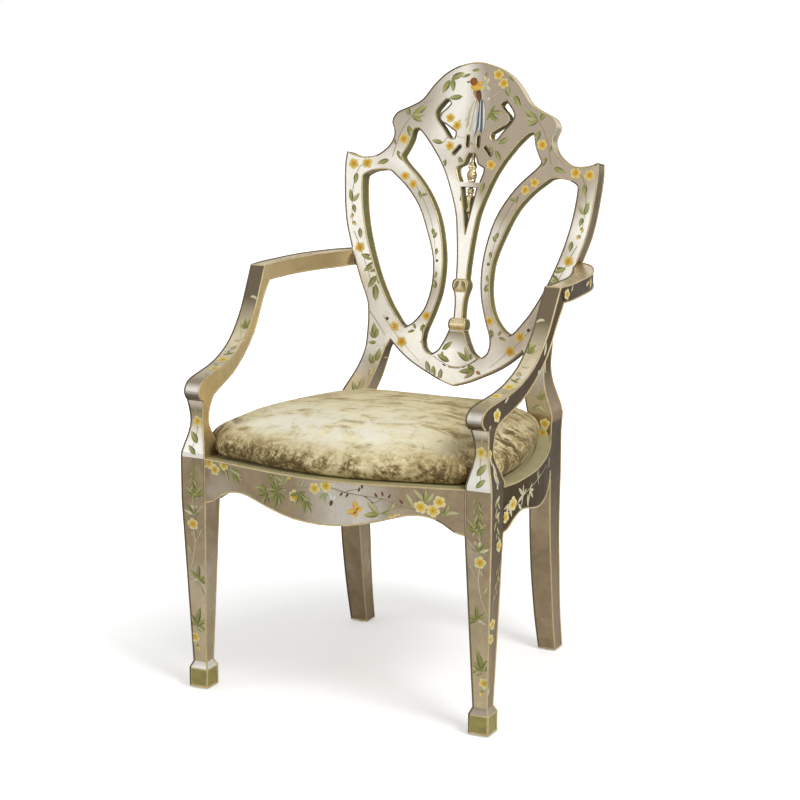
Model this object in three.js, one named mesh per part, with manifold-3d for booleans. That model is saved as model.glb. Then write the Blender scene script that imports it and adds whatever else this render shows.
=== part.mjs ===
import * as THREE from 'three';
import { mergeVertices } from 'three/addons/utils/BufferGeometryUtils.js';
import Module from 'manifold-3d';

// Painted shield back armchair. Millimetres, +Z up, the sitter faces -Y.
// Until the whole chair is centred at the end, y is measured from the front face of the front legs.

// Clearances
const gap = 0.3;
const overrun = 5;

// Seat frame
const railTop = 384;
const railDepth = 70;
const railThickness = 27;
const frontBow = 41;
const frontApronRise = 27;
const frontApronDrop = 69;
const sideApronRise = 23;
const sideApronDrop = 64;
const sideRailWidth = 24;
const sideSwell = 6.5;
const rearRailDepth = 64;
const rearRailThickness = 26;
const rearApronRise = 14;
const seatDepth = 399;
const tenonThickness = 10;
const tenonLength = 16;
const tenonHeight = 40;

// Front legs
const frontLegCentre = 247.5;
const legWidth = 42;
const legDepth = 43;
const ankleWidth = 23;
const ankleDepth = 21;
const spadeWidth = 32;
const spadeHeight = 31;
const spadeChamfer = 10;
const glideRadius = 11;
const glideHeight = 3;
const glidePinRadius = 2.5;
const glidePinLength = 12;

// Rear legs, each one piece from the floor to the top of the shield's side
const rearLegInner = 161;
const rearLegWidth = 36;
const rearLegDepth = 44;
const rearKick = 38;

// Shield, in its own raked frame: u to the side, v up the slope from the tip
const shieldTipHeight = 442.5;
const shieldSetback = 37.3;
const shieldRake = 0.1867;
const shieldHalf = 233.5;
const shieldRise = 547.5;
const shieldThickness = 28;
const shieldBow = 8;
const ribThickness = 18;
const shieldTenon = 15;
const shieldTenonWidth = 10;
const shieldTenonThickness = 9;

// Splat ornaments
const collarRelief = 3.5;
const bellRelief = 2.4;
const slotWidth = 6.6;
const slotLength = 22;
const finialRadius = 9.5;
const finialPinRadius = 2.4;

// Arms
const armTop = 658;
const armThickness = 25;
const armWidth = 26;
const armInset = 5.5;
const armSplay = 18;
const armBendY = 240;
const armMitreRun = 15;
const supportTop = 475;
const supportWaist = 21.5;
const supportNeckWidth = 28;
const supportFoot = 48;
const supportNeckDepth = 28;
const supportWaistDepth = 16;
const dowelRadius = 4;
const dowelLength = 26;

// Seat and corner blocks
const boardThickness = 12;
const boardClearance = 1.5;
const blockHeight = 38;
const blockReach = 62;
const screwHeadRadius = 4;
const screwShankRadius = 2;
const screwHeadDepth = 3;
const screwGrip = 9;
const cushionSetback = 16;
const cushionHeight = 80;
const cushionLedge = 23;
const cushionRelief = 5;

const silverLeaf = { color: 0x9d8d79, roughness: 0.42, metalness: 0.55 };
const darkFelt = { color: 0x22201d, roughness: 0.9, metalness: 0 };
const velvet = { color: 0xb3a482, roughness: 0.95, metalness: 0 };
const rawWood = { color: 0xb08a5a, roughness: 0.8, metalness: 0 };
const steel = { color: 0x8d8f92, roughness: 0.35, metalness: 0.9 };

const wasm = await Module();
wasm.setup();

function solidOf(geometry) {
  const bare = geometry.index ? geometry.toNonIndexed() : geometry.clone();
  bare.deleteAttribute('normal');
  bare.deleteAttribute('uv');
  const merged = mergeVertices(bare, 1e-4);
  return new wasm.Manifold(new wasm.Mesh({
    numProp: 3,
    vertProperties: new Float32Array(merged.attributes.position.array),
    triVerts: new Uint32Array(merged.index.array),
  }));
}

function geometryOf(solid) {
  const mesh = solid.getMesh();
  const geometry = new THREE.BufferGeometry();
  geometry.setAttribute('position', new THREE.BufferAttribute(new Float32Array(mesh.vertProperties), 3));
  geometry.setIndex(new THREE.BufferAttribute(new Uint32Array(mesh.triVerts), 1));
  const flat = geometry.toNonIndexed();
  flat.computeVertexNormals();
  return flat;
}

function named(name, shape, look) {
  const geometry = shape.isBufferGeometry ? shape : geometryOf(shape);
  const mesh = new THREE.Mesh(geometry, new THREE.MeshStandardMaterial(look));
  mesh.name = name;
  return mesh;
}

const sideName = (side) => (side > 0 ? 'right' : 'left');

// A smooth run through a few points, ends included
function smooth(points, stepsPerSpan = 3) {
  const spots = points.map(([x, y]) => new THREE.Vector3(x, y, 0));
  const curve = new THREE.CatmullRomCurve3(spots, false, 'centripetal');
  return curve.getPoints((points.length - 1) * stepsPerSpan).map((p) => [p.x, p.y]);
}

// Joins runs that share their end points into one closed outline
function outline(...runs) {
  const points = [];
  for (const run of runs) {
    for (const [x, y] of run) {
      const last = points[points.length - 1];
      if (!last || Math.hypot(last[0] - x, last[1] - y) > gap / 10) points.push([x, y]);
    }
  }
  const [first, last] = [points[0], points[points.length - 1]];
  if (Math.hypot(first[0] - last[0], first[1] - last[1]) < gap / 10) points.pop();
  return points;
}

const reversed = (run) => [...run].reverse();
const mirrored = (run) => run.map(([x, y]) => [-x, y]);

function shapeOf(points) {
  const vectors = points.map(([x, y]) => new THREE.Vector2(x, y));
  if (THREE.ShapeUtils.area(vectors) < 0) vectors.reverse();
  return new THREE.Shape(vectors);
}

// Prism of an outline from one level to another along its own z
function prism(points, low, high) {
  const geometry = new THREE.ExtrudeGeometry(shapeOf(points), { depth: high - low, bevelEnabled: false });
  return geometry.translate(0, 0, low);
}

// Prism of a front elevation (x, z), from one y to another
const frontPrism = (points, low, high) => prism(points, -high, -low).rotateX(Math.PI / 2);

// Prism of a side elevation (y, z), from one x to another
const sidePrism = (points, low, high) => prism(points, low, high).rotateX(Math.PI / 2).rotateZ(Math.PI / 2);

function block(x0, x1, y0, y1, z0, z1) {
  const box = new THREE.BoxGeometry(x1 - x0, y1 - y0, z1 - z0);
  return box.translate((x0 + x1) / 2, (y0 + y1) / 2, (z0 + z1) / 2);
}

function mirrorX(solid, side) {
  return side > 0 ? solid : solid.mirror([1, 0, 0]);
}

// Stacked rings of equal length, closed by flat caps
function loft(rings) {
  const count = rings[0].length;
  const positions = rings.flat(2);
  const faces = [];
  for (let r = 0; r + 1 < rings.length; r++) {
    for (let i = 0; i < count; i++) {
      const [a, b] = [r * count + i, r * count + ((i + 1) % count)];
      faces.push(a, b, b + count, a, b + count, a + count);
    }
  }
  const flat = (ring) => ring.map(([x, y]) => new THREE.Vector2(x, y));
  for (const [a, b, c] of THREE.ShapeUtils.triangulateShape(flat(rings[0]), [])) faces.push(c, b, a);
  const top = (rings.length - 1) * count;
  for (const [a, b, c] of THREE.ShapeUtils.triangulateShape(flat(rings[rings.length - 1]), [])) {
    faces.push(top + a, top + b, top + c);
  }
  const geometry = new THREE.BufferGeometry();
  geometry.setAttribute('position', new THREE.Float32BufferAttribute(positions, 3));
  geometry.setIndex(faces);
  return geometry;
}

const rectangle = (x, y, width, depth, z) => [
  [x - width / 2, y - depth / 2, z],
  [x + width / 2, y - depth / 2, z],
  [x + width / 2, y + depth / 2, z],
  [x - width / 2, y + depth / 2, z],
];

// Turned piece on its own z axis from [radius, height] pairs
function turned(profile, sides = 12) {
  const low = profile[0][1];
  const high = profile[profile.length - 1][1];
  const points = [[0, low], ...profile, [0, high]].map(([r, z]) => new THREE.Vector2(r, z));
  return new THREE.LatheGeometry(points, sides).rotateX(Math.PI / 2);
}

const rod = (radius, low, high, sides = 12) => turned([[radius, low], [radius, high]], sides);

// Plan of the seat frame
const legInner = frontLegCentre - legWidth / 2;
const legOuter = frontLegCentre + legWidth / 2;
const rearLegOuter = rearLegInner + rearLegWidth;
const shieldTipY = seatDepth + shieldSetback;
const armFrontInner = legInner + armInset;
const armBendInner = armFrontInner + armSplay;
const rearRailFront = seatDepth + (rearLegDepth - rearRailThickness) / 2;
const apronSteps = 20;

// The front rail swells forward, slowly at the legs and most at the middle
function frontEdge(x) {
  const t = Math.min(Math.abs(x) / legInner, 1);
  const arc = 1 - t * t;
  const wave = Math.cos((Math.PI * t) / 2) ** 2;
  return (-frontBow * (arc + wave)) / 2;
}

function frontRun(setback, reach, steps = apronSteps) {
  const run = [];
  for (let i = 0; i <= steps; i++) {
    const x = -reach + (2 * reach * i) / steps;
    run.push([x, frontEdge(x) + setback]);
  }
  return run;
}

// Outer edge of a side rail in plan: [run share, spread share from rear leg to front leg, swell share]
const sideRunShare = [[0, 1, 0], [0.09, 1, 0.9], [0.18, 0.99, 1], [0.33, 0.95, 0.9], [0.48, 0.83, 0.6],
  [0.64, 0.64, 0.35],
  [0.8, 0.385, 0.15], [1, 0, 0]];

function sideEdge(inset) {
  const low = legDepth + gap;
  const span = seatDepth - gap - low;
  const spread = legOuter - rearLegOuter;
  const points = sideRunShare.map(([y, x, swell]) => [
    rearLegOuter + x * spread + swell * sideSwell - inset,
    low + y * span,
  ]);
  return smooth(points, 3);
}

// Bottom line of an apron: low at the legs, arched inside them, and dropping again to the middle
const apronShare = [[-1, 0], [-0.93, 0.16], [-0.85, 0.62], [-0.76, 0.93], [-0.68, 1], [-0.6, 0.93],
  [-0.42, 0.5], [-0.2, 0.1], [0, 0]];
const archShare = 0.68;

function apronLine(half, depth, drop, rise) {
  const crown = railTop - depth + rise;
  const at = ([x, lift]) => {
    const low = railTop - (Math.abs(x) > archShare ? depth : drop);
    return [x * half, low + lift * (crown - low)];
  };
  const left = smooth(apronShare.map(at), 2);
  return outline(left, reversed(mirrored(left)));
}

function frontRail() {
  const half = legInner - gap;
  const apron = apronLine(half, railDepth, frontApronDrop, frontApronRise);
  const face = [...apron, [half, railTop], [-half, railTop]];
  const elevation = solidOf(frontPrism(face, -frontBow - overrun, railThickness + overrun));
  const band = outline(frontRun(0, half), reversed(frontRun(railThickness, half)));
  const rail = elevation.intersect(solidOf(prism(band, railTop - railDepth - overrun, railTop + overrun)));
  return rail.add(frontTenon(1, 0)).add(frontTenon(-1, 0));
}

// Tenon at one end of the front rail, or its mortise when grown
function frontTenon(side, grow) {
  const [low, high] = [railTop - (railDepth + tenonHeight) / 2, railTop - (railDepth - tenonHeight) / 2];
  const near = legInner - overrun;
  const far = legInner + tenonLength + grow;
  const y = railThickness / 2;
  const half = tenonThickness / 2 + grow;
  const bar = block(near, far, y - half, y + half, low - grow, high + grow);
  return mirrorX(solidOf(bar), side);
}

function sideRail() {
  const half = (seatDepth - legDepth) / 2 - gap;
  const middle = (seatDepth + legDepth) / 2;
  const bottom = apronLine(half, railDepth, sideApronDrop, sideApronRise).map(([y, z]) => [y + middle, z]);
  const face = [...bottom, [middle + half, railTop], [middle - half, railTop]];
  const elevation = solidOf(sidePrism(face, rearLegInner - overrun, legOuter + sideSwell + overrun));
  const band = outline(sideEdge(0), reversed(sideEdge(sideRailWidth)));
  const rail = elevation.intersect(solidOf(prism(band, railTop - railDepth - overrun, railTop + overrun)));
  return rail.add(sideFrontTenon(0)).add(sideRearTenon(0));
}

function sideFrontTenon(grow) {
  const [low, high] = [railTop - (railDepth + tenonHeight) / 2, railTop - (railDepth - tenonHeight) / 2];
  const x = legOuter - sideRailWidth / 2;
  const half = tenonThickness / 2 + grow;
  const front = legDepth - tenonLength - grow;
  return solidOf(block(x - half, x + half, front, legDepth + overrun, low - grow, high + grow));
}

function sideRearTenon(grow) {
  const [low, high] = [railTop - (railDepth + tenonHeight) / 2, railTop - (railDepth - tenonHeight) / 2];
  const x = rearLegOuter - sideRailWidth / 2;
  const half = tenonThickness / 2 + grow;
  const back = seatDepth + tenonLength + grow;
  return solidOf(block(x - half, x + half, seatDepth - overrun, back, low - grow, high + grow));
}

function rearRail() {
  const half = rearLegInner - gap;
  const y = rearRailFront;
  const bottom = railTop - rearRailDepth;
  const arch = smooth([[-half, bottom], [-half / 2, bottom + rearApronRise / 2],
    [0, bottom + rearApronRise],
    [half / 2, bottom + rearApronRise / 2], [half, bottom]], 3);
  const face = [...arch, [half, railTop], [-half, railTop]];
  const rail = solidOf(frontPrism(face, y, y + rearRailThickness));
  return rail.add(rearTenon(1, 0)).add(rearTenon(-1, 0));
}

// The rear rail's tenons lie behind those of the side rails
function rearTenon(side, grow) {
  const low = railTop - (rearRailDepth + tenonHeight) / 2;
  const high = low + tenonHeight;
  const y = seatDepth + (rearLegDepth + rearRailThickness) / 2 - tenonThickness / 2;
  const half = tenonThickness / 2 + grow;
  const end = rearLegInner + tenonLength + grow;
  const bar = block(rearLegInner - overrun, end, y - half, y + half, low - grow, high + grow);
  return mirrorX(solidOf(bar), side);
}

// Glide pin hole in the middle of a foot
function pinHole(x, y) {
  const top = glideHeight + glidePinLength + gap;
  return solidOf(rod(glidePinRadius + gap, glideHeight - overrun, top).translate(x, y, 0));
}

function frontLeg() {
  const [x, y] = [frontLegCentre, legDepth / 2];
  const spadeTop = glideHeight + spadeHeight;
  const leg = loft([
    rectangle(x, y, spadeWidth, spadeWidth, glideHeight + gap),
    rectangle(x, y, spadeWidth, spadeWidth, spadeTop),
    rectangle(x, y, ankleWidth, ankleDepth, spadeTop + spadeChamfer),
    rectangle(x, y, legWidth, legDepth, railTop - railDepth),
    rectangle(x, y, legWidth, legDepth, railTop),
  ]);
  return solidOf(leg)
    .subtract(frontTenon(1, gap))
    .subtract(sideFrontTenon(gap))
    .subtract(supportTenon(gap))
    .subtract(pinHole(x, y));
}

// Waisted block that carries the front end of an arm
function armSupport() {
  const bottom = railTop + gap;
  const rise = supportTop - bottom;
  const lean = (armFrontInner + armWidth / 2 + 2 * gap) - frontLegCentre;
  const foot = [legWidth, supportFoot, frontLegCentre, supportFoot / 2];
  const waist = [supportWaist, supportWaistDepth, frontLegCentre + lean / 2, legDepth / 2 - gap];
  const neck = [supportNeckWidth, supportNeckDepth, frontLegCentre + lean, legDepth / 2];
  const mix = (a, b, t) => a.map((value, i) => value + (b[i] - value) * t);
  const levelShare = [[0, 0], [0.08, 0.05], [0.22, 0.34], [0.38, 0.7], [0.52, 0.93], [0.62, 1]];
  const neckShare = [[0.72, 0.06], [0.86, 0.42], [1, 1]];
  const ring = ([width, depth, x, y], z) => rectangle(x, y, width, depth, z);
  const low = levelShare.map(([z, t]) => ring(mix(foot, waist, t), bottom + z * rise));
  const high = neckShare.map(([z, t]) => ring(mix(waist, neck, t), bottom + z * rise));
  return solidOf(loft([...low, ...high])).add(supportTenon(0)).subtract(neckDowel(gap));
}

function supportTenon(grow) {
  const half = tenonThickness / 2 + grow;
  const [x, y] = [frontLegCentre, legDepth / 3];
  const low = railTop - tenonLength - grow;
  return solidOf(block(x - half, x + half, y - half, y + half, low, railTop + overrun));
}

// Dowel between the neck of a support and the arm above it
function neckDowel(grow) {
  const x = armFrontInner + armWidth / 2;
  const half = dowelLength / 2 + grow;
  return solidOf(rod(dowelRadius + grow, supportTop - half, supportTop + half).translate(x, legDepth / 2, 0));
}

// Rear leg from the side, floor to rail: [height share of the rail top, kick share, depth share]
const legSideShare = [[0, 1, 0.66], [0.13, 0.7, 0.68], [0.26, 0.45, 0.73], [0.39, 0.25, 0.8],
  [0.52, 0.1, 0.86],
  [0.62, 0.03, 0.91], [0.72, 0, 0.96], [0.81, 0, 1]];
// Rail to shield: [height share of the post, lean share of its front, taper share to the flank's thickness]
const postSideShare = [[0, 0, 0], [0.23, 0.08, -0.06], [0.43, 0.27, 0.03], [0.58, 0.45, 0.27],
  [0.73, 0.65, 0.54],
  [0.885, 0.87, 0.84], [1, 1.04, 1.06], [1.08, 1.11, 1.12]];
const postJoinShareU = 0.543;
const postJoinShareV = 0.1346;
const postOuterShareU = 0.715;
const postRise = shieldTipHeight + postJoinShareV * shieldRise * Math.cos(shieldRake) - railTop;
const postLean = shieldTipY + postJoinShareV * shieldRise * Math.sin(shieldRake) - seatDepth;

function legSideFace() {
  const low = legSideShare.map(([z, kick, depth]) => [
    seatDepth + kick * rearKick,
    z * railTop,
    depth * rearLegDepth,
  ]);
  low[0][1] = glideHeight + gap;
  const high = postSideShare.map(([z, lean, taper]) => [
    seatDepth + lean * postLean,
    railTop + z * postRise,
    rearLegDepth - taper * (rearLegDepth - thicknessAt(flankShare[0] * shieldHalf)),
  ]);
  const front = (rows) => smooth(rows.map(([y, z]) => [y, z]), 2);
  const back = (rows) => smooth(rows.map(([y, z, depth]) => [y + depth, z]), 2);
  return outline(front(low), front(high), reversed(back(high)), reversed(back(low)));
}

const rearFootSpot = [
  rearLegInner + rearLegWidth / 2,
  seatDepth + rearKick + (rearLegDepth * legSideShare[0][2]) / 2,
];

// Rear leg seen from the front: [height share, share of the leg's width from its inner line]
const footInnerShare = [[0, 0.11], [0.16, 0.05], [0.39, 0], [1, 0]];
const footOuterShare = [[0, 0.94], [0.16, 0.96], [0.39, 1], [1, 1]];
// Above the rail: [height share of the post, share of the way in to the shield's flank]
const postInnerShare = [[0, 0], [0.23, 0.18], [0.34, 0.34], [0.45, 0.49], [0.58, 0.64], [0.73, 0.78],
  [0.885, 0.905], [1, 1], [1.08, 1]];
const postOuterShare = [[0.23, 0], [0.33, 0.17], [0.43, 0.41], [0.58, 0.73], [0.73, 0.93], [0.885, 1],
  [1, 1], [1.08, 1]];

function legFrontFace() {
  const low = (table) => table.map(([z, x]) => [rearLegInner + x * rearLegWidth, z * railTop]);
  const high = (table, from, to) => {
    const spots = table.map(([z, x]) => [from + x * (to - from), railTop + z * postRise]);
    return smooth(spots, 3);
  };
  const inner = outline(low(footInnerShare), high(postInnerShare, rearLegInner, postJoinShareU * shieldHalf));
  const flank = postOuterShareU * shieldHalf;
  const outer = outline(low(footOuterShare), high(postOuterShare, rearLegOuter, flank));
  return outline(inner, reversed(outer));
}

// Shield outlines, right half, in shares of the half width and of the rise
const tipShare = [[0, 0.002], [0.103, 0.016], [0.193, 0.033], [0.287, 0.052], [0.364, 0.071],
  [0.441, 0.095], [0.527, 0.129]];
const postJoinShare = [[0.576, 0.069], [0.559, 0.102], [0.527, 0.129]];
const stileOuterShare = [[0.724, 0.069], [0.715, 0.106], [0.712, 0.155], [0.715, 0.197], [0.73, 0.241],
  [0.79, 0.298],
  [0.852, 0.362], [0.908, 0.429], [0.949, 0.484], [0.976, 0.548], [0.996, 0.63]];
const earShare = [[0.996, 0.63], [1, 0.672], [0.994, 0.707]];
const shoulderShare = [[0.994, 0.707], [0.951, 0.7], [0.861, 0.693], [0.758, 0.7], [0.698, 0.716],
  [0.657, 0.734],
  [0.627, 0.76], [0.627, 0.782], [0.649, 0.805]];
const crestShare = [[0.647, 0.818], [0.617, 0.837], [0.518, 0.857], [0.424, 0.88], [0.343, 0.925],
  [0.257, 0.962],
  [0.163, 0.985], [0.085, 0.9955], [0.03, 0.9996], [0, 1]];
const paneOuterShare = [[0.505, 0.205], [0.565, 0.239], [0.666, 0.316], [0.745, 0.396], [0.801, 0.469],
  [0.835, 0.533],
  [0.854, 0.594], [0.859, 0.63]];
const paneBottomShare = [[0.505, 0.205], [0.454, 0.179], [0.418, 0.169]];
const paneTopShare = [[0.859, 0.63], [0.852, 0.638], [0.831, 0.645], [0.784, 0.654], [0.719, 0.659],
  [0.668, 0.66],
  [0.625, 0.655], [0.591, 0.644]];
const ribOuterShare = [[0.418, 0.169], [0.394, 0.174], [0.347, 0.188], [0.274, 0.23], [0.233, 0.289],
  [0.225, 0.347],
  [0.238, 0.398], [0.302, 0.477], [0.385, 0.553], [0.495, 0.61], [0.591, 0.644]];
const ribInnerShare = [[0.272, 0.132], [0.266, 0.159], [0.218, 0.214], [0.171, 0.285], [0.158, 0.362],
  [0.176, 0.435],
  [0.231, 0.521], [0.308, 0.582], [0.403, 0.634], [0.512, 0.677]];
const innerBottomShare = [[0.272, 0.132], [0.257, 0.11], [0.223, 0.096], [0.184, 0.092]];
const splatSeatShare = [[0.184, 0.092], [0.128, 0.075], [0.064, 0.061], [0, 0.057]];
const innerTopShare = [[0.512, 0.677], [0.55, 0.695], [0.557, 0.705], [0.546, 0.714], [0.516, 0.738],
  [0.496, 0.761],
  [0.484, 0.785], [0.454, 0.794], [0.415, 0.785]];
const fanShare = [[0.415, 0.785], [0.373, 0.767], [0.325, 0.743], [0.281, 0.718], [0.261, 0.707]];
const bellShare = [[0.184, 0.092], [0.133, 0.106], [0.097, 0.131], [0.071, 0.155], [0.053, 0.175]];
const rollShare = [[0.053, 0.175], [0.061, 0.182], [0.064, 0.192], [0.061, 0.202], [0.051, 0.209]];
const shaftShare = [[0.031, 0.211], [0.03, 0.25], [0.035, 0.276]];
const knopShare = [[0.046, 0.294], [0.056, 0.306], [0.058, 0.316], [0.053, 0.326], [0.042, 0.331]];
const columnShare = [[0.039, 0.333], [0.042, 0.38], [0.061, 0.468], [0.086, 0.537], [0.138, 0.603],
  [0.199, 0.663], [0.261, 0.707]];
const scrollHoleShare = [[0.24, 0.888], [0.3, 0.858], [0.315, 0.842], [0.304, 0.826], [0.278, 0.811],
  [0.244, 0.795], [0.214, 0.778], [0.188, 0.765], [0.146, 0.764], [0.137, 0.785], [0.163, 0.793],
  [0.223, 0.809], [0.257, 0.816], [0.274, 0.827], [0.257, 0.844], [0.193, 0.871], [0.214, 0.884],
  [0.24, 0.888]];
const lowSlotShare = [[0, 0.471], [0.02, 0.517], [0.034, 0.55], [0.05, 0.583], [0.065, 0.618]];
const highSlotShare = [[0.083, 0.632], [0.11, 0.676], [0.06, 0.689], [0.051, 0.698], [0.045, 0.707]];
const notchShare = [[0.045, 0.707], [0.026, 0.723]];
const uprightSlotShare = [0.042, 0.758];
const slantSlotShare = [0.122, 0.73];
const slantSlotTurn = 0.71;

const inShield = ([u, v]) => [u * shieldHalf, v * shieldRise];
const run = (table, steps = 3) => smooth(table.map(inShield), steps);
const corners = (table) => table.map(inShield);

// Forward curve of the shield's front face towards its ears, and its thickness, which grows that way too
const bowAt = (u) => shieldBow * (u / shieldHalf) ** 2;
const thicknessAt = (u) => ribThickness + (shieldThickness - ribThickness) * (u / shieldHalf) ** 2;

function bowedBlank(relief = 0, depthShare = 1, strips = 24) {
  const reach = shieldHalf + overrun;
  const front = [];
  const back = [];
  for (let i = 0; i <= strips; i++) {
    const u = -reach + (2 * reach * i) / strips;
    front.push([u, bowAt(u) + relief]);
    back.unshift([u, bowAt(u) - depthShare * thicknessAt(u)]);
  }
  const low = -shieldRise;
  const slab = prism([...front, ...back], low, 2 * shieldRise);
  return solidOf(slab.rotateX(Math.PI / 2).translate(0, shieldRise, 0));
}

// A piece sawn to an outline from the bowed blank
function sawn(points, blank) {
  const board = solidOf(prism(points, -shieldThickness - overrun, shieldBow + overrun));
  return board.intersect(blank).subtract(kerfs);
}

// Straight tenon set in the middle of a piece's thickness, or its mortise when grown
function shieldTenonBar([u, v], turn, grow) {
  const half = shieldTenonWidth / 2 + grow;
  const reach = shieldTenon / 2 + grow;
  const depth = shieldTenonThickness / 2 + grow;
  const bar = block(-half, half, -reach, reach, -depth, depth);
  return solidOf(bar.rotateZ(turn).translate(u, v, bowAt(u) - thicknessAt(u) / 2));
}

// Where the ribs, the splat's prongs and the stiles meet their neighbours: place, then turn from upright
const ribFootShare = [0.345, 0.15];
const ribHeadShare = [0.551, 0.66];
const prongShare = [0.15, 0.707];
const splatFootShare = [0, 0.057];
const flankShare = [0.516, 0.165];
const stileHeadShare = [0.928, 0.63];
const jointTurns = {
  ribFoot: -0.35,
  ribHead: -0.9,
  prong: 0,
  splatFoot: 0,
  flank: Math.PI / 2,
  stileHead: 0,
};

function jointBar(share, turn, side, grow) {
  return mirrorX(shieldTenonBar(inShield(share), turn, grow), side);
}

// Moves a run of an outline sideways, to the left of its direction
function offsetRun(points, distance) {
  return points.map((point, i) => {
    const [a, b] = [points[Math.max(i - 1, 0)], points[Math.min(i + 1, points.length - 1)]];
    const length = Math.hypot(b[0] - a[0], b[1] - a[1]);
    return [point[0] - ((b[1] - a[1]) / length) * distance, point[1] + ((b[0] - a[0]) / length) * distance];
  });
}

const ribFootLine = corners([paneBottomShare[2], ribInnerShare[0]]);
const ribHeadLine = corners([paneTopShare[7], innerTopShare[0]]);
const flankLine = corners([tipShare[6], paneOuterShare[0]]);
const stileHeadLine = corners([paneOuterShare[7], earShare[0]]);
const prongLine = corners([fanShare[4], notchShare[0]]);
const splatSeatLine = outline(run(splatSeatShare), mirrored(reversed(run(splatSeatShare))));

// Cutter of an outline that goes right through the shield
function throughCut(points) {
  const reach = shieldThickness + shieldBow + overrun;
  return solidOf(prism(points, -reach, reach));
}

// Thin glue line through the shield, run a little past both ends
function kerf(line) {
  const [a, b] = [line[0], line[1]];
  const [y, z] = [line[line.length - 2], line[line.length - 1]];
  const past = (from, to) => {
    const length = Math.hypot(to[0] - from[0], to[1] - from[1]);
    return [to[0] + ((to[0] - from[0]) / length) * gap, to[1] + ((to[1] - from[1]) / length) * gap];
  };
  const longer = [past(b, a), ...line.slice(1, -1), past(y, z)];
  const band = outline(offsetRun(longer, gap / 2), reversed(offsetRun(longer, -gap / 2)));
  return throughCut(band);
}

function allKerfs() {
  let cuts = kerf(splatSeatLine);
  for (const side of [1, -1]) {
    for (const line of [ribFootLine, ribHeadLine, flankLine, stileHeadLine, prongLine]) {
      cuts = cuts.add(mirrorX(kerf(line), side));
    }
  }
  return cuts;
}

const kerfs = allKerfs();

function shieldBase() {
  const top = outline(run(paneBottomShare), ribFootLine, run(innerBottomShare), run(splatSeatShare));
  const half = outline(run(tipShare), flankLine, top);
  let base = sawn(outline(half, mirrored(reversed(half))), bowedBlank());
  for (const side of [1, -1]) {
    base = base.add(jointBar(flankShare, jointTurns.flank, side, 0));
    base = base.subtract(jointBar(ribFootShare, jointTurns.ribFoot, side, gap));
  }
  return base.subtract(jointBar(splatFootShare, jointTurns.splatFoot, 1, gap));
}

function crestRail() {
  const outer = outline(run(earShare), run(shoulderShare), run(crestShare));
  const middle = outline(run(innerTopShare), run(fanShare), prongLine, corners(notchShare));
  const inner = outline(run(paneTopShare), ribHeadLine, middle);
  const right = outline(reversed(inner), outer);
  let crest = sawn(outline(right, mirrored(reversed(right))), bowedBlank());
  for (const side of [1, -1]) {
    crest = crest.subtract(mirrorX(throughCut(run(scrollHoleShare, 2)), side));
    crest = crest.subtract(slotCut(uprightSlotShare, 0, side));
    crest = crest.subtract(slotCut(slantSlotShare, slantSlotTurn, side));
    crest = crest.subtract(jointBar(ribHeadShare, jointTurns.ribHead, side, gap));
    crest = crest.subtract(jointBar(prongShare, jointTurns.prong, side, gap));
    crest = crest.subtract(jointBar(stileHeadShare, jointTurns.stileHead, side, gap));
  }
  return crest.subtract(finialPin(inShield(notchShare[1])[1], gap));
}

function slotCut(share, turn, side) {
  const [u, v] = inShield(share);
  const radius = slotWidth / 2;
  const half = slotLength / 2 - radius;
  const points = [];
  for (let i = 0; i <= 6; i++) {
    const angle = (Math.PI * i) / 6;
    points.push([radius * Math.cos(angle), half + radius * Math.sin(angle)]);
  }
  const ring = [...points, ...points.map(([x, y]) => [-x, -y])];
  const [cos, sin] = [Math.cos(turn), Math.sin(turn)];
  return mirrorX(throughCut(ring.map(([x, y]) => [u + x * cos - y * sin, v + x * sin + y * cos])), side);
}

function rib() {
  const outer = outline(run(ribOuterShare), ribHeadLine);
  const inner = outline(reversed(run(ribInnerShare)), reversed(ribFootLine));
  return sawn(outline(outer, inner), bowedBlank())
    .add(jointBar(ribFootShare, jointTurns.ribFoot, 1, 0))
    .add(jointBar(ribHeadShare, jointTurns.ribHead, 1, 0));
}

function splat() {
  const foot = outline(reversed(run(splatSeatShare)), run(bellShare), corners(rollShare));
  const head = outline(corners(shaftShare), corners(knopShare), run(columnShare), prongLine,
    reversed(run(highSlotShare)));
  const right = outline(foot, head);
  const slot = outline(run(lowSlotShare), mirrored(reversed(run(lowSlotShare))));
  let board = sawn(outline(right, mirrored(reversed(right))), bowedBlank());
  board = board.subtract(throughCut(slot));
  board = board.add(reliefBand(rollShare)).add(reliefBand(knopShare));
  board = board.add(bellPanel()).add(jointBar(splatFootShare, jointTurns.splatFoot, 1, 0));
  for (const side of [1, -1]) board = board.add(jointBar(prongShare, jointTurns.prong, side, 0));
  return board.subtract(finialPin(inShield(highSlotShare[0])[1], gap));
}

// Half-round band across the column, with ends that follow its outline
function reliefBand(table) {
  const edge = corners(table);
  const half = Math.max(...edge.map(([u]) => u));
  const [low, high] = [edge[0][1], edge[edge.length - 1][1]];
  const section = [];
  for (let i = 0; i <= 6; i++) {
    const angle = (Math.PI * i) / 6;
    section.push([(low + high) / 2 - ((high - low) / 2) * Math.cos(angle), collarRelief * Math.sin(angle)]);
  }
  const band = solidOf(sidePrism([...section, [high, -collarRelief], [low, -collarRelief]], -half, half));
  return band.intersect(throughCut(outline(edge, mirrored(reversed(edge)))));
}

// Raised bell at the foot of the column
function bellPanel() {
  const half = outline(reversed(run(splatSeatShare)), run(bellShare));
  return sawn(outline(half, mirrored(reversed(half))), bowedBlank(bellRelief, 0.5));
}

// Dowel hole of the turned pieces at one height of the shield
function finialPin(v, grow) {
  const reach = finialRadius + grow;
  const pin = rod(finialPinRadius + grow, -reach, reach).rotateX(-Math.PI / 2);
  return solidOf(pin.translate(0, v, -ribThickness / 2));
}

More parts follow.
